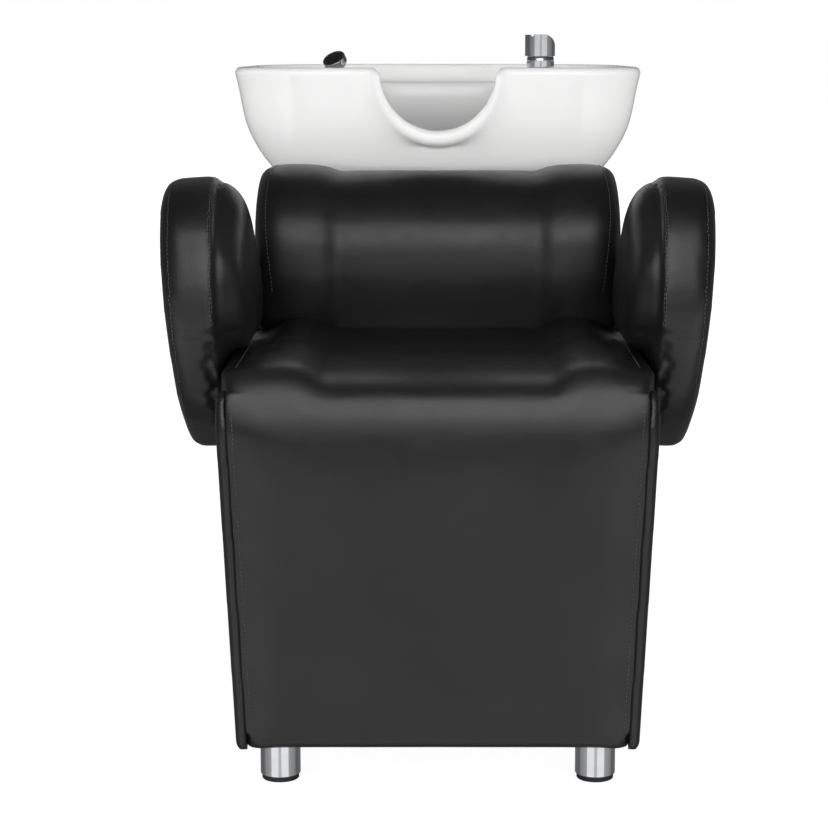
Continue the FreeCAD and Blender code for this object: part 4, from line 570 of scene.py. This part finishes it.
def plated_material():
    name = "zinc_plate"
    if name in bpy.data.materials:
        return bpy.data.materials[name]
    material, tree, shader, place = new_material(name)
    cloud(tree, shader, place, (0.56, 0.57, 0.59), (0.46, 0.47, 0.5), 60.0)
    shader.inputs["Metallic"].default_value = 1.0
    streaks = use_group(tree, brushed_group(), {"Vector": place, "Low": 0.25, "High": 0.45})
    tree.links.new(streaks.outputs["Value"], shader.inputs["Roughness"])
    relief(tree, shader, [(streaks.outputs["Height"], 0.0002, 0.3)])
    return material


def moulded_black():
    return plain_material("moulded_black", (0.012, 0.012, 0.013), (0.2, 0.32), grain=(700.0, 0.0002))


def plywood_material():
    name = "stained_plywood"
    if name in bpy.data.materials:
        return bpy.data.materials[name]
    material, tree, shader, place = new_material(name)
    cloud(tree, shader, place, (0.030, 0.024, 0.020), (0.020, 0.016, 0.014), 12.0)
    streaks = use_group(tree, brushed_group(), {
        "Vector": place, "Stretch": (8.0, 60.0, 160.0), "Low": 0.5, "High": 0.75})
    tree.links.new(streaks.outputs["Value"], shader.inputs["Roughness"])
    relief(tree, shader, [(streaks.outputs["Height"], 0.0006, 0.5)])
    return material


def give(material, *nodes):
    """Puts a material on frame nodes."""
    for node in nodes:
        mesh = NODES[node].data
        mesh.materials.clear()
        mesh.materials.append(material)


def finish_piece(obj, material, body, slot, *nodes):
    """Material and body of a piece that stands for some nodes. The slot is not used."""
    obj.data.materials.clear()
    obj.data.materials.append(material)
    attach(obj, body)
    if nodes:
        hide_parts(*nodes)


# Upholstery

SKIN_PASSES = 5  # softening of a new skin
CUSHION_FAIR, PANEL_FAIR, GLAZE_FAIR = 14, 22, 140  # evening out of broad faces
EDGE_SLACK = 0.0015  # skin left below the bolsters' full form at the seat's edges
EDGE_FILL = 0.026  # deepest point there that is filled up
KEPT_ON_TOP, KEPT_IN_FRONT = 0.45, 0.12  # share of that depth that stays
LAP = 0.0115  # seat's edge over the side panels' top
LAP_LOW, LAP_HIGH = 0.455, 0.478  # heights between which it starts
ROLL_START, ROLL_END = FRONT_Y + 0.03, FRONT_Y + 0.09  # the lap ends at the front roll
MEET = 0.0014  # seat's edge towards the side panels in front
TURN_UP = 0.012  # rise of the seat's rear under the back
TUCK = 0.012  # seat's rear and back's foot drawn to the rear
FRONT_EDGE = 0.003  # side panels' front edge brought forward
FRONT_JOIN = 0.0016  # and towards the seat
UNDER_LAP = 0.014  # side panels' top drawn down under the lap
CROSS_SEAM_Z = 0.547  # seam across the armrests' front bands
BUNCH, FOLD, CROSS_SEAM, BAND_SEAM = 0.0016, 0.0050, 0.0025, 0.0030  # depths on those bands


def padded_skin(name, node):
    """Even, softened skin round a node."""
    obj = merged_copy(name, node)
    remesh(obj, sizes("unit_upholstery").voxel)
    soften(obj, SKIN_PASSES)
    return obj


def seat_edge(points):
    """Distance inside the seat's side edges."""
    return half_width(points[:, 2]) - SIDE_PAD - np.abs(points[:, 0])


def seat_weight(points, normals):
    """Where the seat's skin is free: its top and front, not the faces against the frame."""
    facing = np.maximum(normals[:, 2], -normals[:, 1])
    rear = rise(BACK_LOW.y + 0.02 - points[:, 1], 0.0, 0.03)
    return rise(facing, 0.1, 0.6) * rise(seat_edge(points), 0.0, 0.02) * rear


def seat_form(y, z):
    """Depth below the bolsters' full form (front, roll and top), and the way out of it in Y and Z."""
    dy = y - (FRONT_Y + BOLSTER_ROLL)
    dz = z - (SEAT_HIGH.z - BOLSTER_ROLL)
    reach = np.maximum(np.hypot(dy, dz), 1e-6)
    front = dz < 0
    top = (dy > 0) & ~front
    depth = np.where(front, BOLSTER_ROLL + dy, np.where(top, BOLSTER_ROLL - dz, BOLSTER_ROLL - reach))
    way_y = np.where(front, -1.0, np.where(top, 0.0, dy / reach))
    way_z = np.where(front, 0.0, np.where(top, 1.0, dz / reach))
    return depth, np.stack([way_y, way_z], axis=1)


def shape_seat(points, normals):
    """Full edges that meet and lap the side panels, and a rear that turns up under the back."""
    moved = points.copy()
    x, y, z = points.T
    edge = seat_edge(points)
    depth, way = seat_form(y, z)
    kept = np.where(way[:, 1] > 0.7, KEPT_ON_TOP, KEPT_IN_FRONT)
    shallow = (depth > EDGE_SLACK) & (depth < EDGE_FILL) & (z > 0.070) & (y < BACK_LOW.y - 0.10)
    fill = np.where(shallow, (1 - kept) * (depth - EDGE_SLACK), 0.0) * (1 - rise(edge, 0.006, 0.040))
    moved[:, 1:] += way * fill[:, None]
    lap = LAP * rise(z, LAP_LOW, LAP_HIGH) * rise(y, ROLL_START, ROLL_END)
    meet = MEET * rise(FRONT_Y + 0.05 - y, 0.0, 0.02)
    moved[:, 0] += np.sign(x) * (1 - rise(edge, 0.0, 0.03)) * (lap + meet)
    rear = rise(y, BACK_LOW.y - 0.21, BACK_LOW.y + 0.01) * rise(normals[:, 2], -0.2, 0.3)
    moved[:, 2] += TURN_UP * rear ** 1.5 * rise(edge, 0.015, 0.060)
    moved[:, 1] += TUCK * rise(y, BACK_LOW.y - 0.07, BACK_LOW.y) * rise(z, 0.40, 0.47)
    return moved


def back_weight(points, normals):
    """Where the back's skin is free: its face and top, above its foot."""
    facing = np.maximum(-normals[:, 1], normals[:, 2])
    foot = rise(points[:, 2], BACK_LOW.z + 0.005, BACK_LOW.z + 0.05)
    return rise(facing, 0.0, 0.5) * foot


def shape_back(points, normals):
    """The foot of the back draws in behind the seat."""
    moved = points.copy()
    facing = rise(-normals[:, 1], -0.3, 0.4)
    moved[:, 1] += TUCK * rise(0.605 - points[:, 2], 0.0, 0.09) * facing
    return moved


def make_cushion(name, node, weight, shape):
    """Foam-filled leather skin in place of a cushion's solid."""
    look = sizes("unit_upholstery")
    obj = padded_skin(name, node)
    inside = rise(seat_edge(points_of(obj.data)), 0.012, 0.035)
    fair(obj, CUSHION_FAIR, flatness(obj.data, 0.80, 0.93) * inside)
    inflate(obj, weight(points_of(obj.data), normals_of(obj.data)), look.pressure, look.swell)
    set_points(obj.data, shape(points_of(obj.data), normals_of(obj.data)))
    soften(obj, 1)
    shade_smooth(obj.data)
    finish_piece(obj, leather_material(), "chair", "black_leather", node)


class BuildCushions(bpy.types.Operator):
    """Seat with its waterfall front, and the back, as foam-filled leather skins"""

    bl_idname = "backwash.cushions"
    bl_label = "Seat and back"

    def execute(self, context):
        make_cushion("seat_upholstery", "seat_cushion", seat_weight, shape_seat)
        make_cushion("back_upholstery", "back_cushion", back_weight, shape_back)
        return {"FINISHED"}


def arm_out(points):
    """Distance outside the unit's leaning side."""
    return points[:, 0] - half_width(points[:, 2])


def arm_weight(points):
    """The armrest's skin is free but for the face against the side."""
    against = (1 - rise(np.abs(arm_out(points)), 0.002, 0.012)) * (1 - rise(points[:, 2], 0.52, 0.56))
    return 1.0 - against


def arm_panel(points):
    """1 on the armrest's inner panel above the seat."""
    return (1 - rise(arm_out(points), 0.0, 0.010)) * rise(points[:, 2], 0.515, 0.53)


def arm_gathers(points, normals):
    """Seams round the front band and across it, and the bunched leather below the cross seam."""
    front = rise(-normals[:, 1], 0.2, 0.6)
    out = arm_out(points)
    z = points[:, 2]
    cross = bump(z, CROSS_SEAM_Z + 0.03 * (out - 0.03), 0.0035) * front
    below = rise(CROSS_SEAM_Z - 0.002 - z, 0.0, 0.012) * rise(z, 0.41, 0.44) * front
    wander = 0.014 + 0.0035 * np.sin(z * 140) + 0.0025 * np.sin(z * 310 + 1.0)
    fold = bump(out, wander, 0.0042)
    bunch = np.sin(z * 420 + 3.0 * np.sin(z * 95)) * bump(out, 0.004, 0.010)
    edge = bump(out, 0.001, 0.004) * rise(-normals[:, 1] - normals[:, 0], 0.1, 0.5) * rise(z, 0.40, 0.44)
    move = (BUNCH * bunch - FOLD * fold) * below - CROSS_SEAM * cross - BAND_SEAM * edge
    return points + normals * move[:, None]


class BuildArmrests(bpy.types.Operator):
    """Round padded armrests, one modelled and one mirrored"""

    bl_idname = "backwash.armrests"
    bl_label = "Armrests"

    def execute(self, context):
        look = sizes("unit_upholstery")
        right = padded_skin("armrest_upholstery_right", "armrest_right")
        fair(right, PANEL_FAIR, 0.9 * arm_panel(points_of(right.data)))
        inflate(right, arm_weight(points_of(right.data)), look.pressure, 0.5 * look.swell)
        set_points(right.data, arm_gathers(points_of(right.data), normals_of(right.data)))
        soften(right, 1)
        shade_smooth(right.data)
        left = mirrored_copy(right, "armrest_upholstery_left")
        for obj, node in ((right, "armrest_right"), (left, "armrest_left")):
            finish_piece(obj, leather_material(), "chair", "black_leather", node)
        return {"FINISHED"}


def shape_side(points, normals):
    """Front edge brought up to the seat's front, and the top drawn down under the seat's edge."""
    moved = points.copy()
    x, y, z = points.T
    out = half_width(z) - x
    front = (1 - rise(y, FRONT_Y + 0.004, FRONT_Y + 0.020)) * rise(out, 0.0, 0.008)
    moved[:, 1] -= FRONT_EDGE * front * rise(-normals[:, 1], 0.0, 0.4)
    moved[:, 0] -= FRONT_JOIN * front * rise(out, 0.006, 0.012)
    under = rise(BACK_LOW.y - y, 0.0, 0.04) * rise(y, ROLL_START, ROLL_END)
    moved[:, 2] -= UNDER_LAP * rise(z, 0.44, 0.49) * under
    return moved


class BuildSidePanels(bpy.types.Operator):
    """Thinly padded leather on the sides and behind the back"""

    bl_idname = "backwash.side_panels"
    bl_label = "Side panels"

    def execute(self, context):
        right = merged_copy("side_upholstery_right", "side_cover_right")
        remesh(right, sizes("unit_upholstery").voxel * 0.8)
        soften(right, 2)
        set_points(right.data, shape_side(points_of(right.data), normals_of(right.data)))
        shade_smooth(right.data)
        left = mirrored_copy(right, "side_upholstery_left")
        for obj, node in ((right, "side_cover_right"), (left, "side_cover_left")):
            finish_piece(obj, leather_material(), "chair", "black_leather", node)
        rear = merged_copy("back_rear_upholstery", "back_rear_cover")
        edge = rear.modifiers.new("Edge", "BEVEL")
        edge.width = 0.0012
        edge.segments = 3
        apply_modifiers(rear)
        finish_piece(rear, leather_material(), "chair", "black_leather", "back_rear_cover")
        return {"FINISHED"}


# Seams

def stitch_tree():
    """Geometry nodes: thread stitches along the edges of a wire mesh."""
    name = "Stitch row"
    if name in bpy.data.node_groups:
        return bpy.data.node_groups[name]
    tree = bpy.data.node_groups.new(name, "GeometryNodeTree")
    face = tree.interface
    face.new_socket("Geometry", in_out="INPUT", socket_type="NodeSocketGeometry")
    for label in ("Pitch", "Length", "Thread"):
        face.new_socket(label, in_out="INPUT", socket_type="NodeSocketFloat")
    face.new_socket("Material", in_out="INPUT", socket_type="NodeSocketMaterial")
    face.new_socket("Geometry", in_out="OUTPUT", socket_type="NodeSocketGeometry")
    start = tree.nodes.new("NodeGroupInput")
    end = tree.nodes.new("NodeGroupOutput")
    curve = add_node(tree, "GeometryNodeMeshToCurve", {"Mesh": start.outputs["Geometry"]})
    spaced = add_node(tree, "GeometryNodeResampleCurve", {
        "Curve": curve.outputs["Curve"], "Length": start.outputs["Pitch"]}, mode="LENGTH")
    along = tree.nodes.new("GeometryNodeInputTangent")
    turn = add_node(tree, "FunctionNodeAlignRotationToVector", {"Vector": along.outputs["Tangent"]}, axis="Z")
    bead = add_node(tree, "GeometryNodeMeshUVSphere", {"Segments": 6, "Rings": 4, "Radius": 0.5})
    smooth = add_node(tree, "GeometryNodeSetShadeSmooth", {"Geometry": bead.outputs["Mesh"]})
    size = add_node(tree, "ShaderNodeCombineXYZ", {
        "X": start.outputs["Thread"], "Y": start.outputs["Thread"], "Z": start.outputs["Length"]})
    spread = add_node(tree, "GeometryNodeInstanceOnPoints", {
        "Points": spaced.outputs["Curve"], "Instance": smooth.outputs["Geometry"],
        "Rotation": turn.outputs["Rotation"], "Scale": size.outputs["Vector"]})
    real = add_node(tree, "GeometryNodeRealizeInstances", {"Geometry": spread.outputs["Instances"]})
    paint = add_node(tree, "GeometryNodeSetMaterial", {
        "Geometry": real.outputs["Geometry"], "Material": start.outputs["Material"]})
    tree.links.new(paint.outputs["Geometry"], end.inputs["Geometry"])
    return tree


def run_tree(obj, tree, values):
    """Runs a geometry tree on an object and keeps the result as its mesh."""
    modifier = obj.modifiers.new(tree.name, "NODES")
    modifier.node_group = tree
    for item in tree.interface.items_tree:
        if item.item_type == "SOCKET" and item.in_out == "INPUT" and item.name in values:
            modifier[item.identifier] = values[item.name]
    apply_modifiers(obj)
    if not len(obj.data.polygons):
        raise RuntimeError(tree.name + " made nothing for " + obj.name)


def wire_object(name, rows):
    """Mesh of edges through rows of points."""
    verts = []
    edges = []
    for row in rows:
        first = len(verts)
        verts.extend([tuple(point) for point in row])
        edges.extend([(first + i, first + i + 1) for i in range(len(row) - 1)])
    mesh = bpy.data.meshes.new(name)
    mesh.from_pydata(verts, edges, [])
    return mesh_object(name, mesh)


def surface_of(*names):
    """Search trees of finished pieces."""
    depsgraph = bpy.context.evaluated_depsgraph_get()
    return [BVHTree.FromObject(bpy.data.objects[name], depsgraph) for name in names]


def laid_on(tree, points, lift):
    """Guide points moved to the nearest point of a surface, lifted a little off it."""
    row = []
    for point in points:
        place, normal, _, _ = tree.find_nearest(Vector(point))
        row.append(place + normal * lift)
    return row


def laid_from(tree, points, way, lift):
    """Guide points moved along a direction to a surface, lifted a little off it."""
    row = []
    for point in points:
        place, normal, _, _ = tree.ray_cast(Vector(point), Vector(way))
        if place is not None:
            row.append(place + normal * lift)
    return row


def arm_row(tree, inset, out, low, high, lift):
    """Row round the right armrest at a distance outside its side, for part of its belt."""
    points = []
    for depth, z in belt_points(ARM_LOBES, inset, 260):
        if low <= z <= high:
            points.append((half_width(z) + out, FRONT_Y + depth, z))
    return laid_on(tree, points, lift)


def mirrored_rows(rows):
    return [[Vector((-p.x, p.y, p.z)) for p in row] for row in rows]


SEAM_IN = 0.0205  # seat front's row inside the unit's side
CROWN_IN = 0.021  # the same on the seat's top
BACK_IN = 0.013  # back's row inside its edge
PANEL_IN = 0.020  # side panel's row behind its front edge
HEM_Z, HEM_END = 0.068, 0.03  # side panel's lower row: height, and its ends inside the panel's
CLEAR = 0.03  # guide points start this far off a surface
ARM_INNER_ROWS = (-0.004, 0.006)  # double row beside the armrest's inner edge
ARM_OUTER_ROW = 0.070  # row beside its outer edge


def seam_rows(lift):
    """Every row of stitches of the right half, and the same mirrored."""
    seat, back, arm, side = surface_of(
        "seat_upholstery", "back_upholstery", "armrest_upholstery_right", "side_upholstery_right")
    apron = [(half_width(z) - SEAM_IN, FRONT_Y - CLEAR, z) for z in np.linspace(0.066, 0.47, 70)]
    crown = [(half_width(0.5) - CROWN_IN, FRONT_Y + y, 0.56) for y in np.linspace(0.092, 0.38, 30)]
    top = []
    for t in np.linspace(0.0, 1.0, 60):
        top.append((BACK_HIGH.x - BACK_IN, BACK_LOW.y - CLEAR + 0.17 * t, 0.56 + 0.24 * t ** 0.6))
    panel = [(half_width(z) + CLEAR, COVER_LOW.y + PANEL_IN, z) for z in np.linspace(0.075, 0.46, 70)]
    hem = []
    for y in np.linspace(COVER_LOW.y + HEM_END, COVER_HIGH.y - HEM_END, 120):
        hem.append((half_width(HEM_Z) + CLEAR, y, HEM_Z))
    rows = [
        laid_from(seat, apron, (0.0, 1.0, 0.0), lift),
        laid_from(seat, crown, (0.0, 0.0, -1.0), lift),
        laid_on(back, top, lift),
    ]
    rows += [arm_row(arm, -0.01, out, 0.555, 0.74, lift) for out in ARM_INNER_ROWS]
    rows += [
        arm_row(arm, -0.012, ARM_OUTER_ROW, 0.40, 0.74, lift),
        laid_on(side, panel, lift),
        laid_on(side, hem, lift),
    ]
    return rows + mirrored_rows(rows)


class SewSeams(bpy.types.Operator):
    """Rows of stitches along the seams of the upholstery"""

    bl_idname = "backwash.seams"
    bl_label = "Seams"

    def execute(self, context):
        look = sizes("unit_upholstery")
        obj = wire_object("seam_stitches", seam_rows(0.3 * look.thread))
        run_tree(obj, stitch_tree(), {
            "Pitch": look.stitch_pitch, "Length": look.stitch_length, "Thread": look.thread,
            "Material": thread_material()})
        finish_piece(obj, thread_material(), "chair", "black_leather")
        return {"FINISHED"}


# Basin and fittings

class GlazeBasin(bpy.types.Operator):
    """Ceramic basin with softened, glazed edges"""

    bl_idname = "backwash.basin"
    bl_label = "Basin"

    def execute(self, context):
        obj = merged_copy("basin_glazed", "basin")
        remesh(obj, sizes("unit_fittings").glaze_voxel)
        soften(obj, 4)
        fair(obj, GLAZE_FAIR, flatness(obj.data, 0.94, 0.985))
        shade_smooth(obj.data)
        finish_piece(obj, ceramic_material(), "basin", "white_ceramic", "basin")
        return {"FINISHED"}


class FinishMixer(bpy.types.Operator):
    """Chrome mixer and its works"""

    bl_idname = "backwash.mixer"
    bl_label = "Mixer"

    def execute(self, context):
        give(chrome_material(), "mixer_body", "mixer_dome", "mixer_handle")
        give(plated_material(), "mixer_pin", "mixer_stem", "handle_screw", "mixer_washer")
        brass = plain_material("turned_brass", (0.58, 0.42, 0.18), (0.22, 0.34), metallic=1.0)
        give(brass, "mixer_shank", "mixer_nut", "holder_nut")
        return {"FINISHED"}


class FinishShower(bpy.types.Operator):
    """Chrome hand shower in its sleeve, with its spray face"""

    bl_idname = "backwash.shower"
    bl_label = "Hand shower"

    def execute(self, context):
        give(chrome_material(), "shower_holder", "shower_handle", "hose_nut")
        give(moulded_black(), "spray_plate")
        return {"FINISHED"}


class FinishWaste(bpy.types.Operator):
    """Waste, strainer and bottle trap"""

    bl_idname = "backwash.waste"
    bl_label = "Waste and trap"

    def execute(self, context):
        give(chrome_material(), "waste_body", "waste_strainer")
        white = plain_material("moulded_white", (0.74, 0.74, 0.72), (0.25, 0.4), grain=(500.0, 0.0002))
        give(white, "trap_body", "trap_nut", "trap_cup", "waste_nut")
        rubber = plain_material("soft_rubber", (0.012, 0.012, 0.012), (0.55, 0.75), grain=(900.0, 0.0004))
        give(rubber, "foot_pads", "basin_pads", "waste_gasket", "mixer_gasket", "holder_gasket")
        return {"FINISHED"}


class FinishCarcass(bpy.types.Operator):
    """Feet, frame, boards, panels and tilting bracket"""

    bl_idname = "backwash.carcass"
    bl_label = "Feet and carcass"

    def execute(self, context):
        give(chrome_material(), "feet")
        coated = plain_material("coated_steel", (0.018, 0.018, 0.02), (0.35, 0.5), grain=(800.0, 0.0004))
        give(coated, "steel_frame", "bracket_base", "tilt_plate")
        give(plated_material(), "foot_studs", "armrest_bolts", "rear_panel_screws", "bracket_screws",
             "pivot_bolts", "lock_stud")
        give(plywood_material(), "apron_board", "seat_board", "back_board", "side_board_left",
             "side_board_right", "armrest_board_left", "armrest_board_right")
        sheet = plain_material("coated_panel", (0.018, 0.018, 0.018), (0.42, 0.55), grain=(650.0, 0.0005))
        give(sheet, "column_top_board", "rear_panel", "bottom_cover")
        give(moulded_black(), "lock_knob")
        return {"FINISHED"}


# Stage

def floor_material(lift):
    """Pale floor: it takes the shadow, is lifted to white for the camera and is not mirrored."""
    material = bpy.data.materials.new("floor")
    material.use_nodes = True
    tree = material.node_tree
    tree.nodes.clear()
    out = tree.nodes.new("ShaderNodeOutputMaterial")
    seen = tree.nodes.new("ShaderNodeLightPath")
    matt = add_node(tree, "ShaderNodeBsdfDiffuse", {"Color": (0.86, 0.86, 0.86, 1.0)})
    glow = add_node(tree, "ShaderNodeEmission", {"Color": (1.0, 1.0, 1.0, 1.0), "Strength": lift})
    dark = add_node(tree, "ShaderNodeEmission", {"Strength": 0.0})
    clear = tree.nodes.new("ShaderNodeBsdfTransparent")
    shown = add_node(tree, "ShaderNodeMixShader", {
        0: seen.outputs["Is Camera Ray"], 1: dark.outputs[0], 2: glow.outputs[0]})
    both = add_node(tree, "ShaderNodeAddShader", {0: matt.outputs[0], 1: shown.outputs[0]})
    passed = add_node(tree, "ShaderNodeMixShader", {
        0: seen.outputs["Is Glossy Ray"], 1: both.outputs[0], 2: clear.outputs[0]})
    tree.links.new(passed.outputs[0], out.inputs["Surface"])
    return material


def level_ramp(tree, value, stops):
    """Grey ramp over a value from 0 to 1."""
    ramp = tree.nodes.new("ShaderNodeValToRGB")
    ramp.color_ramp.interpolation = "EASE"
    elements = ramp.color_ramp.elements
    while len(elements) < len(stops):
        elements.new(0.5)
    for element, (position, level) in zip(elements, stops):
        element.position = position
        element.color = (level, level, level, 1.0)
    tree.links.new(value, ramp.inputs["Fac"])
    return ramp.outputs["Color"]


# Brightness of the studio round the unit. The ROUND steps go by compass angle, from the camera's side at 0
# to the back at 1, and the HEIGHT steps from straight down at 0 to straight up at 1. Reflections see
# LOW_ROUND below the horizon and HIGH_ROUND above it, times MIRROR_HEIGHT. ROOM steps light matt surfaces.
LOW_ROUND = ((0.0, 0.60), (0.035, 0.64), (0.06, 1.05), (0.26, 1.05), (0.30, 0.42), (0.48, 0.32), (0.60, 0.14),
             (1.0, 0.20))
HIGH_ROUND = ((0.0, 0.20), (0.10, 0.20), (0.22, 0.14), (0.32, 0.08), (0.60, 0.06), (0.80, 0.09), (1.0, 0.26))
MIRROR_HEIGHT = ((0.0, 0.85), (0.48, 1.0), (0.62, 1.0), (0.80, 0.60), (0.92, 0.45), (1.0, 0.40))
ROOM_ROUND = ((0.0, 1.0), (0.35, 0.95), (0.6, 0.55), (1.0, 0.45))
ROOM_HEIGHT = ((0.0, 0.9), (0.45, 1.0), (0.60, 1.0), (0.65, 0.12), (0.72, 0.05), (1.0, 0.036))


def studio_world(ambient):
    """White for the camera, soft light for the room, and a shaded studio for reflections."""
    world = bpy.data.worlds.new("studio")
    bpy.context.scene.world = world
    world.use_nodes = True
    tree = world.node_tree
    tree.nodes.clear()
    out = tree.nodes.new("ShaderNodeOutputWorld")
    seen = tree.nodes.new("ShaderNodeLightPath")
    way = tree.nodes.new("ShaderNodeTexCoord")
    axes = add_node(tree, "ShaderNodeSeparateXYZ", {"Vector": way.outputs["Generated"]})
    front = add_node(tree, "ShaderNodeMath", {0: axes.outputs["Y"], 1: -1.0}, operation="MULTIPLY")
    side = add_node(tree, "ShaderNodeMath", {0: axes.outputs["X"]}, operation="ABSOLUTE")
    angle = add_node(tree, "ShaderNodeMath", {0: side.outputs[0], 1: front.outputs[0]}, operation="ARCTAN2")
    round_share = add_node(tree, "ShaderNodeMath", {0: angle.outputs[0], 1: math.pi}, operation="DIVIDE")
    height = add_node(tree, "ShaderNodeMapRange", {
        "Value": axes.outputs["Z"], "From Min": -1.0, "From Max": 1.0})
    share = round_share.outputs[0]
    up = height.outputs["Result"]
    over = add_node(tree, "ShaderNodeMapRange", {"Value": up, "From Min": 0.47, "From Max": 0.55})
    around = mixed_colours(
        tree, over.outputs["Result"], level_ramp(tree, share, LOW_ROUND), level_ramp(tree, share, HIGH_ROUND))
    mirrored = add_node(tree, "ShaderNodeVectorMath", {
        0: around, 1: level_ramp(tree, up, MIRROR_HEIGHT)}, operation="MULTIPLY")
    soft = add_node(tree, "ShaderNodeVectorMath", {
        0: level_ramp(tree, share, ROOM_ROUND), 1: level_ramp(tree, up, ROOM_HEIGHT)}, operation="MULTIPLY")
    mirror = add_node(tree, "ShaderNodeBackground", {"Color": mirrored.outputs[0]})
    room = add_node(tree, "ShaderNodeBackground", {"Color": soft.outputs[0], "Strength": ambient})
    white = add_node(tree, "ShaderNodeBackground", {"Color": (1, 1, 1, 1)})
    lit = add_node(tree, "ShaderNodeMixShader", {
        0: seen.outputs["Is Glossy Ray"], 1: room.outputs[0], 2: mirror.outputs[0]})
    shown = add_node(tree, "ShaderNodeMixShader", {
        0: seen.outputs["Is Camera Ray"], 1: lit.outputs[0], 2: white.outputs[0]})
    tree.links.new(shown.outputs[0], out.inputs["Surface"])


def soft_box(name, place, target, width, depth, radiance):
    """Rectangular lamp of a given brightness, aimed at a point. It shows in sheen only."""
    lamp = bpy.data.lights.new(name, "AREA")
    lamp.shape = "RECTANGLE"
    lamp.size = width
    lamp.size_y = depth
    lamp.energy = radiance * math.pi * width * depth
    obj = bpy.data.objects.new(name, lamp)
    bpy.context.scene.collection.objects.link(obj)
    obj.location = place
    obj.rotation_euler = (Vector(target) - Vector(place)).to_track_quat("-Z", "Y").to_euler()
    obj.visible_diffuse = False


# Soft boxes in front of the apron, above the seat's height: place, aim, width and depth
OVERHEAD = ((0.0, FRONT_Y - 0.23, 1.04), (0.0, FRONT_Y - 0.15, 0.0), 0.9, 0.60)
AHEAD = ((0.0, FRONT_Y - 0.86, 1.02), (0.0, FRONT_Y - 0.60, 0.0), 1.4, 0.60)
AHEAD_SHARE = 0.42  # brightness of the one ahead beside the one overhead
FLOOR_REACH = 14.0
SENSOR = 36.0  # millimetres


class SetStage(bpy.types.Operator):
    """Pale floor, soft studio light and the camera"""

    bl_idname = "backwash.stage"
    bl_label = "Stage"

    def execute(self, context):
        look = sizes("unit_studio")
        scene = context.scene
        scene.view_settings.view_transform = "Standard"
        mesh = bpy.data.meshes.new("floor")
        corners = ((-1, -1), (1, -1), (1, 1), (-1, 1))
        mesh.from_pydata([(FLOOR_REACH * x, FLOOR_REACH * y, 0) for x, y in corners], [], [(0, 1, 2, 3)])
        floor = mesh_object("floor", mesh)
        floor.data.materials.append(floor_material(look.floor_lift))
        studio_world(look.ambient)
        soft_box("overhead", *OVERHEAD, look.key_radiance)
        soft_box("ahead", *AHEAD, AHEAD_SHARE * look.key_radiance)
        camera = bpy.data.cameras.new("camera")
        camera.sensor_width = SENSOR
        camera.lens = camera.sensor_width * look.focal_pixels / look.picture
        camera.shift_x = (look.picture / 2 - look.middle_pixel) / look.picture
        holder = bpy.data.objects.new("camera", camera)
        scene.collection.objects.link(holder)
        holder.location = (0.0, FRONT_Y - look.camera_distance, look.camera_height)
        holder.rotation_euler = (math.pi / 2 - look.camera_pitch, 0.0, 0.0)
        scene.camera = holder
        return {"FINISHED"}


OPERATORS = (
    BuildCushions,
    BuildArmrests,
    BuildSidePanels,
    SewSeams,
    GlazeBasin,
    FinishMixer,
    FinishShower,
    FinishWaste,
    FinishCarcass,
    SetStage,
)


class BackwashPanel(bpy.types.Panel):
    """Lists the steps that dress the unit"""

    bl_idname = "VIEW3D_PT_backwash"
    bl_label = "Backwash unit"
    bl_space_type = "VIEW_3D"
    bl_region_type = "UI"
    bl_category = "Backwash unit"

    def draw(self, context):
        for operator in OPERATORS:
            self.layout.operator(operator.bl_idname)


GROUPS = (UpholsterySizes, FittingSizes, StudioSizes)


def register():
    for cls in GROUPS + OPERATORS + (BackwashPanel,):
        bpy.utils.register_class(cls)
    bpy.types.Scene.unit_upholstery = bpy.props.PointerProperty(type=UpholsterySizes)
    bpy.types.Scene.unit_fittings = bpy.props.PointerProperty(type=FittingSizes)
    bpy.types.Scene.unit_studio = bpy.props.PointerProperty(type=StudioSizes)


def unregister():
    del bpy.types.Scene.unit_studio
    del bpy.types.Scene.unit_fittings
    del bpy.types.Scene.unit_upholstery
    for cls in reversed(GROUPS + OPERATORS + (BackwashPanel,)):
        bpy.utils.unregister_class(cls)


def main():
    register()
    bpy.ops.backwash.cushions()
    bpy.ops.backwash.armrests()
    bpy.ops.backwash.side_panels()
    bpy.ops.backwash.seams()
    bpy.ops.backwash.basin()
    bpy.ops.backwash.mixer()
    bpy.ops.backwash.shower()
    bpy.ops.backwash.waste()
    bpy.ops.backwash.carcass()
    bpy.ops.backwash.stage()
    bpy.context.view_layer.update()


if __name__ == "__main__":
    main()
